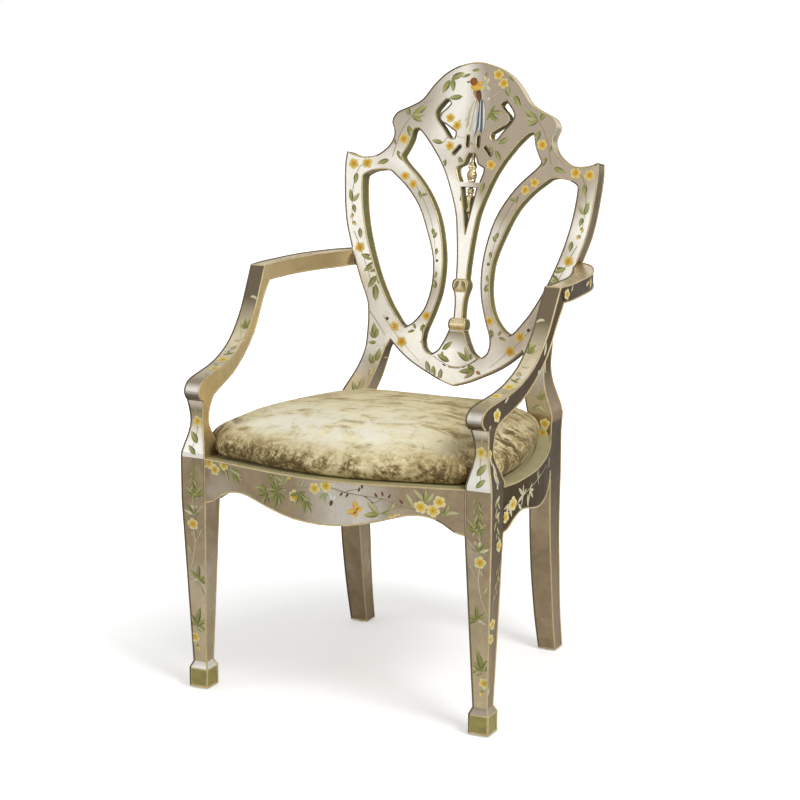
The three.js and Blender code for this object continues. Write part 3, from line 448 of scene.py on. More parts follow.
def support_leaf():
    """Leaf on the fronts of the arm supports: a painted highlight on the flared foot, tan above, and a
    painted shadow at the collar that lightens upwards.
    """
    m = Surface("support_leaf", 30.0, 260.0)
    # Painted highlight on the flared foot, fading to tan above.
    foot = m.blend(m.above_seat(24, 56), (1.0, 0.975, 0.90), (0.62, 0.49, 0.30))
    waist = m.blend(m.above_seat(50, 72), foot, (0.42, 0.33, 0.17))
    # Painted shadow at the collar line, lightening upwards to a lit top.
    collar = m.blend(m.above_seat(73, 86), (0.20, 0.15, 0.10), (0.86, 0.75, 0.59))
    tone = m.blend(m.above_seat(73, 74), waist, collar)
    m.bump(m.rub, 0.01)
    return m.coat(m.blend(m.times(m.cloud, 0.2), tone, finish().leaf_light),
                  (m.cloud, 0.28, 0.34), 0.55)


def edge_leaf():
    """Painted shade round the outer edge of the shield, brownish, turning to the lit tone as painted light
    near the top.
    """
    m = Surface("edge_leaf", 26.0, 260.0)
    high = m.spread(m.z, SHIELD_TOP.z - 170 * MM, SHIELD_TOP.z - 60 * MM)
    edge_shade = m.blend(m.cloud, (0.36, 0.285, 0.185), (0.22, 0.168, 0.10))
    m.bump(m.rub, 0.08)
    return m.coat(m.blend(high, edge_shade, finish().shield_light), (m.rub, 0.26, 0.38), 0.85)


def side_shade(name, tone, metal):
    """Painted shade on the outer sides: a dark tone over the leaf that eases to leaf towards the floor and
    behind the arms.
    """
    m = Surface(name, 28.0, 260.0)
    light = finish().leaf_light
    low = m.spread(m.z, 0.10, 0.33, 0.85, 0.0)
    behind = m.spread(m.y, 0.0, 60 * MM, 0.0, 0.8)
    patch = m.times(m.above_seat(18, 24), m.above_seat(40, 110, 1.0, 0.0), behind)
    shading = m.blend(m.times(m.cloud, 0.7), tone, scaled(tone, 0.6))
    worn_and_eased = m.blend(patch, m.blend(low, shading, scaled(light, 0.9)), light)
    rubbed = m.blend(m.spread(m.rub, 0.7, 1.0, 0.0, 0.25), worn_and_eased, finish().leaf_dark)
    m.bump(m.rub, 0.1)
    return m.coat(rubbed, (m.cloud, 0.34, 0.44), metal, specular=0.3 * metal)


def gilt(name, share):
    """Dull gilding of the edge lines, at full strength, or darkened to a share of it as painted shade."""
    m = Surface(name, 60.0, 400.0)
    tone = scaled(finish().gilt, share)
    return m.coat(m.blend(m.cloud, tone, scaled(tone, 0.72)), (m.rub, 0.36, 0.52), 0.6)


def satin_paint(name, tone, depth):
    """Thin oil paint over the leaf: slightly cloudy, satin."""
    m = Surface(name, 34.0, 300.0)
    m.bump(m.rub, 0.15)
    return m.coat(m.blend(m.cloud, tone, scaled(tone, depth)), (m.rub, 0.40, 0.56), specular=0.3)


def bare_wood():
    m = Surface("bare_wood")
    grain = m.noise(m.stretched(m.coords, (0.0, 0.0, 0.0), (1.0, 1.0, 9.0)), 60.0, 5.0, 0.65, 1.4)
    m.bump(grain, 0.2, 0.4 * MM)
    return m.coat(m.blend(m.spread(grain, 0.3, 0.7), (0.56, 0.40, 0.235), (0.38, 0.245, 0.13)), 0.62)


def plain_steel():
    m = Surface("plain_steel", 80.0, 500.0)
    return m.coat(m.blend(m.rub, (0.62, 0.60, 0.57), (0.48, 0.46, 0.43)), 0.36, 1.0)


def glide_pad():
    m = Surface("glide_pad", 80.0, 420.0)
    return m.coat(m.blend(m.rub, (0.035, 0.03, 0.026), (0.07, 0.06, 0.05)), (m.rub, 0.6, 0.8))


def velvet_pile():
    """Crushed velvet with its sheen painted into the colour: cream and streaky on top, mottled brown low
    down as painted shade, painted shade of folds at the sides, a painted highlight on the crown.
    """
    m = Surface("velvet_pile")
    aside = m.absolute(m.x)
    out = m.spread(aside, 178 * MM, 216 * MM)
    fine = m.noise(m.coords, 105.0, 8.0, 0.78, 0.3)
    blot = m.noise(m.coords, 26.0, 4.0, 0.65, 0.6)
    streaks = m.noise(m.stretched(m.coords, (0.0, 0.0, 0.12), (0.34, 1.0, 1.0)), 52.0, 6.0, 0.7, 0.6)
    folds = m.noise(m.stretched(m.coords, (0.75, 0.0, 0.0), (1.0, 1.0, 0.22)), 48.0, 5.0, 0.65, 0.8)
    ends = m.spread(aside, 80 * MM, 200 * MM, -0.02, 0.09)
    patches = m.spread(m.sum(m.noise(m.coords, 12.0, 5.0, 0.68, 0.9), ends), 0.40, 0.53)
    mottle = m.times(m.spread(fine, 0.38, 0.60, 0.22, 1.05), patches)
    specks = m.sum(mottle, m.spread(fine, 0.40, 0.60, 0.0, 0.30))
    # Painted shade: the mottles darken only the band below the crown.
    banded = m.times(specks, m.above_seat(22, 56, 1.0, 0.0))
    swept = m.times(m.spread(streaks, 0.42, 0.62, 0.0, 0.52), m.spread(blot, 0.38, 0.60, 1.15, 0.15))
    back = m.times(m.sum(m.spread(m.y, -0.12, 0.10, 0.0, 0.28),
                         m.spread(m.x, 70 * MM, 170 * MM, 0.0, 0.22)),
                   m.spread(blot, 0.38, 0.60, 1.35, 0.75))
    level = m.times(m.sum(swept, back), m.spread(out, 0.0, 1.0, 1.0, 0.2))
    # Painted shade of folds at the sides, drawn as dark streaks.
    fold_shade = m.times(m.spread(folds, 0.43, 0.58, 0.0, 1.1), out)
    crushed = m.most(m.most(banded, level), fold_shade)
    half = m.blend(m.spread(crushed, 0.0, 0.5), finish().velvet_light, finish().velvet_tan)
    deep = m.blend(m.spread(crushed, 0.45, 1.0), half, finish().velvet_dark)
    # Painted highlight along the front of the crown, fading towards the right.
    lit = m.times(m.above_seat(40, 58), m.spread(m.y, -0.20, -0.08, 0.85, 0.0),
                  m.spread(blot, 0.38, 0.56), m.spread(m.x, 50 * MM, 150 * MM, 1.0, 0.2))
    m.bump(m.sum(fine, crushed, "SUBTRACT"), 0.26, 1.0 * MM)
    return m.coat(m.blend(lit, deep, (1.0, 0.97, 0.81)), 0.8, specular=0.15, sheen=0.35,
                  sheen_roughness=0.35, sheen_tint=(0.95, 0.80, 0.50, 1.0))


def spray_paint():
    """Oil paint of the ornament, each touch in its own tint."""
    m = Surface("spray_paint", 120.0, 520.0)
    tint = m.node("ShaderNodeAttribute", attribute_name="tint").outputs["Color"]
    return m.coat(m.blend(m.spread(m.cloud, 0.0, 1.0, 0.0, 0.22), tint, (0.16, 0.13, 0.05)),
                  (m.rub, 0.42, 0.58), specular=0.25)


MAKERS = {
    # Painted shade on the outer sides and on the outer faces of the side rails.
    "umber_side": lambda: side_shade("umber_side", finish().umber, 0.9),
    "umber_rail": lambda: side_shade("umber_rail", finish().rail_umber, 0.03),
    "gilt_line": lambda: gilt("gilt_line", 1.0),
    "gilt_shade": lambda: gilt("gilt_shade", 0.24),
    "olive_walls": lambda: satin_paint("olive_walls", finish().olive, 0.62),
    "pale_ledge": lambda: satin_paint("pale_ledge", finish().pale_green, 0.78),
    "foot_panels": lambda: satin_paint("foot_panels", finish().foot_green, 0.6),
}
for maker in (leafed_wood, pale_leaf, warm_leaf, bright_gold, scroll_leaf, support_leaf, edge_leaf,
              bare_wood, plain_steel, glide_pad, velvet_pile, spray_paint):
    MAKERS[maker.__name__] = maker


def material_named(name):
    """A finish by name, mixed once."""
    return bpy.data.materials.get(name) or MAKERS[name]()


# Dressing a wooden piece

WOOD_FINISHES = ("leafed_wood", "pale_leaf", "warm_leaf", "umber_side", "edge_leaf", "gilt_line",
                 "olive_walls", "pale_ledge", "foot_panels", "umber_rail", "scroll_leaf",
                 "support_leaf", "bright_gold")
SILVER, PALE, WARM, UMBER, EDGE, GILT, OLIVE, LEDGE, FOOT, DARK, SCROLL, POST, GOLD = range(
    len(WOOD_FINISHES))
JOINT_REACH = 0.9 * MM
JOINT_GROWTH = 0.16 * MM
ARRIS_ANGLE = math.radians(34)
SMOOTH_ANGLE = math.radians(28)
FLAT_ANGLE = math.radians(0.4)
SHADED_TURN = -0.35
WELD = 0.02 * MM
CORNER_DRAW = 0.15
RAY_LIFT = 0.01 * MM
BESIDE_ARRIS = 1.0 * MM
LEG_FACE_DEPTH = 12 * MM
LEDGE_BAND = 3 * MM
LEVEL = 0.9
UPRIGHT_ARRIS = 0.97
UPRIGHT_FACE = 0.5
TURNED_IN = -0.05
PANEL_MARGIN = 2.4 * MM
PAINTED_NODES = [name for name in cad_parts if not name.startswith(("glide", "seat", "corner"))]


def surface_tree(nodes):
    """Ray-cast tree over the meshes of some nodes of the frame."""
    points, faces = [], []
    for node in nodes:
        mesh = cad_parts[node].data
        base = len(points)
        points.extend(vertex.co.copy() for vertex in mesh.vertices)
        faces.extend([base + index for index in polygon.vertices] for polygon in mesh.polygons)
    return BVHTree.FromPolygons(points, faces)


def merged_copy(node):
    """A copy of a node's mesh as closed, flat-faced surface."""
    piece = bpy.data.objects.new(node + "_painted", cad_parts[node].data.copy())
    bpy.context.scene.collection.objects.link(piece)

    def tidy():
        bpy.ops.mesh.remove_doubles(threshold=WELD)
        bpy.ops.mesh.dissolve_limited(angle_limit=FLAT_ANGLE)

    in_edit_mode(piece, tidy)
    return piece


def is_glued(face, rest):
    """True where at least half of a face's corners, drawn in a little, lie close to other pieces."""
    centre = face.calc_center_median()
    spots = [vertex.co.lerp(centre, CORNER_DRAW) for vertex in face.verts]
    close = [spot for spot in spots if is_covered(spot, face, rest)]
    return len(close) * 2 >= len(spots)


def is_covered(spot, face, rest):
    """True where another piece lies close before a point of a face."""
    start = spot + face.normal * RAY_LIFT
    return rest.ray_cast(start, face.normal, JOINT_REACH)[0] is not None


def at_joint(edge, rest):
    """True where another piece lies close to one side of an arris."""
    middle = (edge.verts[0].co + edge.verts[1].co) / 2
    first, second = edge.link_faces
    return any(is_covered(middle - other.normal * BESIDE_ARRIS, face, rest)
               for face, other in ((first, second), (second, first)))


def is_lined(edge, glued, rest):
    """True for a free arris in sight, and for the upright arrises at the front of the legs."""
    if len(edge.link_faces) != 2 or edge.calc_face_angle(0.0) < ARRIS_ANGLE:
        return False
    centre = (edge.verts[0].co + edge.verts[1].co) / 2
    ahead = (edge.verts[1].co - edge.verts[0].co).normalized()
    normals = [face.normal for face in edge.link_faces]
    at_front = min(normal.y for normal in normals) < -LEVEL and centre.y < LEG_FRONT + LEG_FACE_DEPTH
    if abs(ahead.z) > UPRIGHT_ARRIS and at_front and centre.z < SEAT_TOP:
        return True
    if glued.intersection(edge.link_faces) or at_joint(edge, rest):
        return False
    on_top = max(normal.z for normal in normals) > LEVEL and abs(centre.z - SEAT_TOP) < LEDGE_BAND
    inner = any(looks_in(normal, centre) for normal in normals)
    return not (on_top and inner)


def looks_in(normal, centre):
    """True for an upright face that looks at the middle of the seat."""
    away = normal.x * centre.x + normal.y * centre.y
    return abs(normal.z) < UPRIGHT_FACE and away < TURNED_IN * centre.length


def dress(node, colour_of):
    """Closes the glued joints, paints each face and lines the edges with gilt."""
    piece = merged_copy(node)
    piece.data.materials.clear()
    for name in WOOD_FINISHES:
        piece.data.materials.append(material_named(name))
    rest = surface_tree(name for name in PAINTED_NODES if name != node)
    work = bmesh.new()
    work.from_mesh(piece.data)
    work.normal_update()
    glued = set()
    for face in work.faces:
        if is_glued(face, rest):
            glued.add(face)
        face.material_index = colour_of(face)
    lines = {"gilt_line": [], "gilt_shade": []}
    work.edges.index_update()
    for edge in work.edges:
        if is_lined(edge, glued, rest):
            # Lines beside a face that looks to the left take the darker gilt as painted shade.
            shaded = min(face.normal.x for face in edge.link_faces) < SHADED_TURN
            lines["gilt_shade" if shaded else "gilt_line"].append(edge.index)
    for face in work.faces:
        if face in glued:
            for vertex in face.verts:
                vertex.co += face.normal * JOINT_GROWTH
    work.to_mesh(piece.data)
    work.free()
    for name, edges in lines.items():
        edge_line(piece, name, edges)
    border_panels(piece)
    pick(piece)
    bpy.ops.object.shade_smooth_by_angle(angle=SMOOTH_ANGLE)
    even = piece.modifiers.new("even_shading", "WEIGHTED_NORMAL")
    even.keep_sharp = True
    apply_modifier(piece, even)
    return place(piece, "silver_leaf", node)


def edge_line(piece, finish_name, edges):
    """A raised line along some edges of a piece, joined to it."""
    if not edges:
        return
    mark_only(piece, [piece.data.edges[index] for index in edges])
    bpy.context.tool_settings.mesh_select_mode = (False, True, False)
    bpy.ops.object.mode_set(mode="EDIT")
    bpy.ops.mesh.duplicate()
    bpy.ops.mesh.separate(type="SELECTED")
    bpy.ops.object.mode_set(mode="OBJECT")
    line = [each for each in bpy.context.selected_objects if each is not piece][0]
    in_edit_mode(line, lambda: bpy.ops.mesh.delete(type="ONLY_FACE"))
    pick(line)
    bpy.ops.object.convert(target="CURVE")
    line.data.bevel_depth = finish().gilt_bead
    line.data.bevel_resolution = 2
    line.data.use_fill_caps = True
    line.data.materials.clear()
    line.data.materials.append(material_named(finish_name))
    bpy.ops.object.convert(target="MESH")
    bpy.ops.object.shade_smooth()
    pick(piece)
    line.select_set(True)
    bpy.ops.object.join()


def border_panels(piece):
    """Gives each green foot panel a gilt border."""
    panels = [face for face in piece.data.polygons if face.material_index == FOOT]
    if not panels:
        return
    mark_only(piece, panels)
    bpy.ops.object.mode_set(mode="EDIT")
    bpy.ops.mesh.select_mode(type="FACE")
    bpy.ops.mesh.inset(thickness=PANEL_MARGIN, use_individual=True)
    bpy.ops.object.mode_set(mode="OBJECT")
    for face in piece.data.polygons:
        if face.material_index == FOOT and not face.select:
            face.material_index = GILT


# Colours by place

SHIELD_PIECES = ("crest_rail", "shield_rib_right", "shield_rib_left", "shield_base", "splat",
                 "rear_leg_right", "rear_leg_left")
SHIELD_RAKE = math.atan2(0.1857, 0.9826)
SHIELD_NORMAL = Vector((0.0, -math.cos(SHIELD_RAKE), math.sin(SHIELD_RAKE)))
OPENING_SPAN = 240 * MM
WALL_SLOPE = 0.5
WALL_LIFT = 0.5 * MM
STILE_FLANK = 540 * MM
RAIL_EDGE = 2 * MM
SPADE_TOP = 40 * MM
PANEL_SLOPE = 0.2
TURNINGS = ((92 * MM, 123 * MM), (147 * MM, 188 * MM))
FACING = 0.6


def turned_out(face):
    """How far a face looks away from the chair's middle: 1 outwards, -1 inwards."""
    return face.normal.x * math.copysign(1.0, face.calc_center_median().x)


def body_colour(face):
    """Umber painted shade on the outer sides, leaf elsewhere."""
    return UMBER if turned_out(face) > FACING else SILVER


def arm_colour(face):
    """Umber painted shade outside, yellow-toned leaf inside, burnished leaf with painted reflections on
    the back of the sweep.
    """
    if turned_out(face) < -FACING:
        return WARM
    return UMBER if turned_out(face) > FACING else SCROLL


def elbow_colour(face):
    """As the sweep, with yellow-toned leaf on top too."""
    return WARM if face.normal.z > FACING else arm_colour(face)


def shield_colour():
    """Leaf in the lit tone in front as painted light, olive on the walls of the openings, painted shade on
    the outer edge.
    """
    shield = surface_tree(SHIELD_PIECES)

    def colour_of(face):
        centre = face.calc_center_median()
        facing = face.normal.dot(SHIELD_NORMAL)
        if centre.z < SEAT_TOP:
            return body_colour(face)
        if abs(facing) > WALL_SLOPE:
            return PALE if facing > 0 else SILVER
        if centre.z < STILE_FLANK:
            return UMBER
        start = centre + face.normal * WALL_LIFT
        inside = shield.ray_cast(start, face.normal, OPENING_SPAN)[0] is not None
        return OLIVE if inside else EDGE

    return colour_of


def splat_colour():
    """As the shield, with gold on the two turnings."""
    shield = shield_colour()

    def colour_of(face):
        height = face.calc_center_median().z - SHIELD_FOOT.z
        index = shield(face)
        turned = any(low < height < high for low, high in TURNINGS)
        return GOLD if turned and index == PALE else index

    return colour_of


def rail_colour(face):
    """Pale green on the level top beside the cushion, darker umber painted shade outside."""
    centre = face.calc_center_median()
    if face.normal.z > LEVEL and centre.z > SEAT_TOP - RAIL_EDGE:
        return LEDGE
    return DARK if turned_out(face) > FACING else SILVER


def leg_colour(face):
    """Green on the upright panels of the spade foot, bright leaf in the lit tone on its sloping top, as
    painted light.
    """
    centre = face.calc_center_median()
    if centre.z > SPADE_TOP:
        return body_colour(face)
    return FOOT if abs(face.normal.z) < PANEL_SLOPE else PALE


def support_colour(face):
    """Umber painted shade outside, yellow-toned leaf inside, its own leaf with painted light and shade in
    front.
    """
    if abs(turned_out(face)) > FACING:
        return UMBER if turned_out(face) > 0 else WARM
    return POST


def finish_node(node, name):
    """Gives a node that keeps its shape its finish."""
    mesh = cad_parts[node].data
    mesh.materials.clear()
    mesh.materials.append(material_named(name))


# Painted ornament

PAINT_LIFT = 0.26 * MM
LAYER_STEP = 0.02 * MM
LAYERS = 16
CHART_STANDOFF = 120 * MM
STEP_LIMIT = 4 * MM
FACING_LIMIT = 0.35

LEAF_DEEP = (0.07, 0.082, 0.014)
LEAF_MID = (0.23, 0.25, 0.045)
LEAF_PALE = (0.66, 0.64, 0.28)
CREAM = (0.74, 0.64, 0.42)
TWIG = (0.36, 0.27, 0.14)
PETAL = (0.87, 0.56, 0.07)
PETAL_EDGE = (0.93, 0.79, 0.36)
PETAL_HEART = (0.70, 0.30, 0.02)
BARK = (0.10, 0.035, 0.018)
BREAST = (0.62, 0.20, 0.03)

GREEN_TONES = (LEAF_DEEP, LEAF_MID, LEAF_PALE)
PALE_TONES = (LEAF_MID, (0.42, 0.42, 0.19), CREAM)
CREAM_TONES = ((0.40, 0.38, 0.19), CREAM, (0.85, 0.78, 0.58))
WHITE_TONES = ((0.62, 0.60, 0.52), (0.86, 0.83, 0.74), (0.93, 0.91, 0.86))
BARK_TONES = ((0.035, 0.015, 0.01), (0.09, 0.03, 0.02), (0.30, 0.12, 0.06))
PETAL_TONES = (PETAL, PETAL_EDGE, (0.92, 0.84, 0.52))
WING_TONES = ((0.78, 0.30, 0.03), (0.85, 0.47, 0.05), (0.93, 0.70, 0.15))
OCHRE_TONES = ((0.42, 0.32, 0.13), (0.60, 0.48, 0.24), (0.80, 0.70, 0.44))
TAIL_TONES = ((0.008, 0.014, 0.035), (0.03, 0.055, 0.10), (0.16, 0.23, 0.33))
BODY_TONES = ((0.20, 0.10, 0.04), (0.36, 0.22, 0.10), (0.62, 0.48, 0.30))
# Tones for painted shade and a painted highlight on the gold knop.
SHADE_GOLD = ((0.16, 0.10, 0.03), (0.24, 0.15, 0.05), (0.55, 0.40, 0.18))
LIGHT_GOLD = ((0.66, 0.48, 0.20), (0.90, 0.78, 0.48), (0.97, 0.92, 0.76))
BREAST_TONES = ((0.45, 0.11, 0.02), BREAST, (0.78, 0.50, 0.20))

LEAF_ROWS = 7
SHIELD_LEAF = 1.45
RIB_LEAF = 1.2
STROKE_STEP = 3 * MM
PETALS = 5
PETAL_SPOKES = 6
PETAL_REACH = 1.14
PETAL_SPREAD = 36.0
PETAL_ROUNDING = 56.0
DOT_SIDES = 10
PETAL_RINGS = ((0.12, PETAL_HEART), (0.26, (0.78, 0.40, 0.03)), (0.55, PETAL), (1.0, PETAL_EDGE))
PETAL_SEAM = (0.50, 0.24, 0.02)
YELLOW_RINGS = ((0.12, (0.66, 0.34, 0.02)), (0.28, (0.82, 0.54, 0.06)), (0.58, (0.86, 0.66, 0.15)),
                (1.0, (0.95, 0.87, 0.52)))


def tone_between(first, second, share):
    return tuple(a + (b - a) * share for a, b in zip(first, second))


class Chart:
    """Flat frame in front of some nodes; places on it are shares of its two sides."""

    def __init__(self, origin, across, up, nodes):
        self.origin, self.across, self.up = Vector(origin), Vector(across), Vector(up)
        self.normal = self.across.cross(self.up).normalized()
        self.nodes = nodes

    def mirrored(self):
        """The same chart on the other side of the chair."""
        flip = Vector((-1.0, 1.0, 1.0))
        swap = {"right": "left", "left": "right"}
        nodes = []
        for node in self.nodes:
            stem, _, side = node.rpartition("_")
            nodes.append(f"{stem}_{swap[side]}" if side in swap else node)
        other = Chart(self.origin * flip, self.across * flip, self.up * flip, nodes)
        other.normal = self.normal * flip
        return other

    def spot(self, place, offset=(0.0, 0.0)):
        """Point at a place in shares of the sides, moved by an offset in millimetres."""
        flat = self.origin + self.across * place[0] + self.up * place[1]
        return (flat + self.across.normalized() * (offset[0] * MM)
                + self.up.normalized() * (offset[1] * MM))


def turned(x, y, angle):
    """A step (x to the side, y ahead) after a turn to the right, in degrees."""
    sin, cos = math.sin(math.radians(angle)), math.cos(math.radians(angle))
    return (x * cos + y * sin, y * cos - x * sin)


class Painter:
    """Collects painted shapes, sized in millimetres, and lays them on the surface behind a chart."""

    def __init__(self, chart, seed):
        self.chart = chart
        self.petal_rings = PETAL_RINGS if SHIELD_PIECES[0] in chart.nodes else YELLOW_RINGS
        self.points, self.tints, self.layers, self.faces = [], [], [], []
        self.layer = 0
        self.chance = random.Random(seed)

    def next_layer(self):
        """Lifts the next shape a little over the last, so that the two don't share a surface."""
        self.layer = (self.layer + 1) % LAYERS

    def vary(self, amount):
        return 1.0 + self.chance.uniform(-amount, amount)

    def add(self, place, offset, tint):
        return self.add_point(self.chart.spot(place, offset), tint)

    def add_point(self, point, tint):
        self.points.append(point)
        self.tints.append(tint)
        self.layers.append(self.layer)
        return len(self.points) - 1

    def leaf(self, place, turn, length, width, tones=GREEN_TONES, bend=0.0, start=(0.0, 0.0)):
        """A pointed leaf with a dark half, a light half and a pale tip."""
        self.next_layer()
        deep, mid, pale = tones
        rows = []
        for row in range(LEAF_ROWS):
            share = row / (LEAF_ROWS - 1)
            half = width / 2 * math.sin(math.pi * share ** 0.85) ** 0.8
            heading = turn + bend * share
            x, y = turned(0.0, length * share, heading)
            side_x, side_y = turned(half, 0.0, heading)
            left = tone_between(deep, pale, max(share - 0.6, 0.0))
            right = tone_between(mid, pale, share ** 2 * 0.8)
            rib = tone_between(mid, pale, 0.25 + 0.6 * share)
            across = ((-side_x, -side_y, left), (0.0, 0.0, rib), (side_x, side_y, right))
            rows.append([self.add(place, (start[0] + x + dx, start[1] + y + dy), tint)
                         for dx, dy, tint in across])
        for near, far in zip(rows, rows[1:]):
            self.faces.append((near[0], near[1], far[1], far[0]))
            self.faces.append((near[1], near[2], far[2], far[1]))

    def leaves(self, tones, *rows, slim=None, scale=1.0):
        """Leaves in one set of tones; a row without a width gets a share of its length."""
        for x, y, turn, length, *width in rows:
            broad = width[0] if width else length * slim * scale
            self.leaf((x, y), turn, length * scale, broad, tones)

    def blossom(self, place, radius, turn):
        """Five round petals, pale at the rim, round an orange heart."""
        self.next_layer()
        heart = self.add(place, (0.0, 0.0), PETAL_HEART)
        for petal in range(PETALS):
            middle = turn + 360.0 * petal / PETALS
            reach = PETAL_REACH * radius * self.vary(0.1)
            rings = []
            for share, tint in self.petal_rings:
                ring = []
                for spoke in range(PETAL_SPOKES + 1):
                    swing = 2.0 * spoke / PETAL_SPOKES - 1.0
                    bend = math.radians(PETAL_ROUNDING * swing)
                    bulge = math.cos(bend) ** 0.5 if share > 0.5 else 1.0
                    x, y = turned(0.0, reach * share * bulge, middle + PETAL_SPREAD * swing)
                    seam = 0.6 * abs(swing) ** 4 if 0.2 < share < 1.0 else 0.0
                    ring.append(self.add(place, (x, y), tone_between(tint, PETAL_SEAM, seam)))
                rings.append(ring)
            for a, b in zip(rings[0], rings[0][1:]):
                self.faces.append((heart, a, b))
            for near, far in zip(rings, rings[1:]):
                for i in range(PETAL_SPOKES):
                    self.faces.append((near[i], far[i], far[i + 1], near[i + 1]))

    def blossoms(self, *rows):
        for x, y, radius, turn in rows:
            self.blossom((x, y), radius, turn)

    def dot(self, place, radius, inner, outer, start=(0.0, 0.0)):
        """A round touch of the brush."""
        self.next_layer()
        heart = self.add(place, start, inner)
        ring = []
        for step in range(DOT_SIDES):
            x, y = turned(0.0, radius, 360.0 * step / DOT_SIDES)
            ring.append(self.add(place, (start[0] + x, start[1] + y), outer))
        for a, b in zip(ring, ring[1:] + ring[:1]):
            self.faces.append((heart, a, b))

    def bud(self, place, radius, turn=0.0):
        """A closed bud with a green cup."""
        self.leaf(place, turn, radius * 2.6, radius * 1.7, (PETAL, PETAL, PETAL_EDGE))
        self.leaf(place, turn - 25, radius * 1.3, radius * 0.7)
        self.leaf(place, turn + 25, radius * 1.3, radius * 0.7)

    def sprig(self, place, turn, size, count=5, spread=150.0, tones=GREEN_TONES):
        """Narrow leaves fanned from one point."""
        for i in range(count):
            share = i / (count - 1) - 0.5 if count > 1 else 0.0
            length = size * (1.0 - 0.35 * abs(share) * 2) * self.vary(0.15)
            angle = turn + spread * share + self.chance.uniform(-7, 7)
            mixed = tones if i % 2 else (tones[0], tones[1], tone_between(tones[1], tones[2], 0.5))
            self.leaf(place, angle, length, length * 0.27, mixed, bend=22.0 * share)

    def twig(self, places, width, tint=TWIG):
        """A thin curved stroke through some places, in short steps."""
        self.next_layer()
        spots = [self.chart.spot(place) for place in places]
        path = []
        for i in range(len(spots) - 1):
            before, first = spots[max(i - 1, 0)], spots[i]
            second, after = spots[i + 1], spots[min(i + 2, len(spots) - 1)]
            steps = max(int((second - first).length / STROKE_STEP), 2)
            path.extend(curve_point(before, first, second, after, step / steps)
                        for step in range(steps))
        path.append(spots[-1])
        rows = []
        for i, point in enumerate(path):
            ahead = path[min(i + 1, len(path) - 1)] - path[max(i - 1, 0)]
            side = self.chart.normal.cross(ahead).normalized() * (width * MM / 2)
            taper = 1.0 - 0.5 * i / len(path)
            rows.append([self.add_point(point + side * edge * taper, tint) for edge in (-1.0, 1.0)])
        for near, far in zip(rows, rows[1:]):
            self.faces.append((near[0], near[1], far[1], far[0]))
        return path

    def garland(self, places, spacing, size, tones=GREEN_TONES, twig_width=0.9, lean=42.0,
                twig_tint=TWIG):
        """A twig with leaves on alternate sides."""
        path = self.twig(places, twig_width, twig_tint)
        gone, side = 0.0, 1.0
        across, up = self.chart.across.normalized(), self.chart.up.normalized()
        for before, after in zip(path, path[1:]):
            gone += (after - before).length / MM
            if gone < spacing:
                continue
            gone = 0.0
            ahead = (after - before).normalized()
            heading = math.degrees(math.atan2(ahead.dot(across), ahead.dot(up)))
            flat = after - self.chart.origin
            offset = (flat.dot(across) / MM, flat.dot(up) / MM)
            length = size * self.vary(0.2)
            self.leaf((0.0, 0.0), heading + side * lean, length, length * 0.30, tones,
                      bend=-14.0 * side, start=offset)
            side = -side

    def lay(self, name):
        """Casts the drawing on to the nodes behind the chart as a thin skin of paint."""
        tree = surface_tree(self.chart.nodes)
        towards = -self.chart.normal
        laid = []
        for point, layer in zip(self.points, self.layers):
            start = point + self.chart.normal * CHART_STANDOFF
            hit, normal, _, _ = tree.ray_cast(start, towards, 3 * CHART_STANDOFF)
            good = hit is not None and normal.dot(self.chart.normal) > FACING_LIMIT
            laid.append(hit + normal * (PAINT_LIFT + LAYER_STEP * layer) if good else None)
        kept = [face for face in self.faces if self.lies_flat(face, laid)]
        used = sorted({index for face in kept for index in face})
        number = {index: i for i, index in enumerate(used)}
        mesh = bpy.data.meshes.new(name)
        faces = [[number[i] for i in self.outward(face, laid)] for face in kept]
        mesh.from_pydata([laid[i] for i in used], [], faces)
        tint = mesh.color_attributes.new("tint", "FLOAT_COLOR", "POINT")
        for i, index in enumerate(used):
            tint.data[i].color = (*self.tints[index], 1.0)
        piece = bpy.data.objects.new(name, mesh)
        bpy.context.scene.collection.objects.link(piece)
        mesh.materials.append(material_named("spray_paint"))
        return place(piece, "silver_leaf")

    def outward(self, face, laid):
        """The face in the order that turns it towards the viewer of the chart."""
        first, second, third = (laid[index] for index in face[:3])
        facing = (second - first).cross(third - first).dot(self.chart.normal)
        return face if facing > 0 else face[::-1]

    def lies_flat(self, face, laid):
        """True where all of a face landed on one surface."""
        spots = [laid[index] for index in face]
        if any(spot is None for spot in spots):
            return False
        depths = [spot.dot(self.chart.normal) for spot in spots]
        return max(depths) - min(depths) < STEP_LIMIT


def curve_point(before, first, second, after, share):
    """Point on the smooth curve between two of four places."""
    square, cube = share ** 2, share ** 3
    return 0.5 * (2 * first + (second - before) * share
                  + (2 * before - 5 * first + 4 * second - after) * square
                  + (3 * first - before - 3 * second + after) * cube)


# Sprays by place

def front_chart(node):
    """Chart before the front of a node, in shares of its width and height."""
    low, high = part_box(node)
    return Chart(low, (high.x - low.x, 0.0, 0.0), (0.0, 0.0, high.z - low.z), [node])


def outer_chart(node):
    """Chart beside a right-hand node, in shares of its depth and height."""
    low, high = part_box(node)
    return Chart((high.x, low.y, low.z), (0.0, high.y - low.y, 0.0), (0.0, 0.0, high.z - low.z),
                 [node])


def rising_chart(node):
    """Chart over a right-hand node that rises to the back, in shares of its width and its rise."""
    low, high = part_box(node)
    return Chart(low, (high.x - low.x, 0.0, 0.0), (0.0, high.y - low.y, high.z - low.z), [node])


def top_chart(node):
    """Chart over the top of a node, in shares of its width and depth."""
    low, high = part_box(node)
    return Chart((low.x, low.y, high.z), (high.x - low.x, 0.0, 0.0), (0.0, high.y - low.y, 0.0),
                 [node])


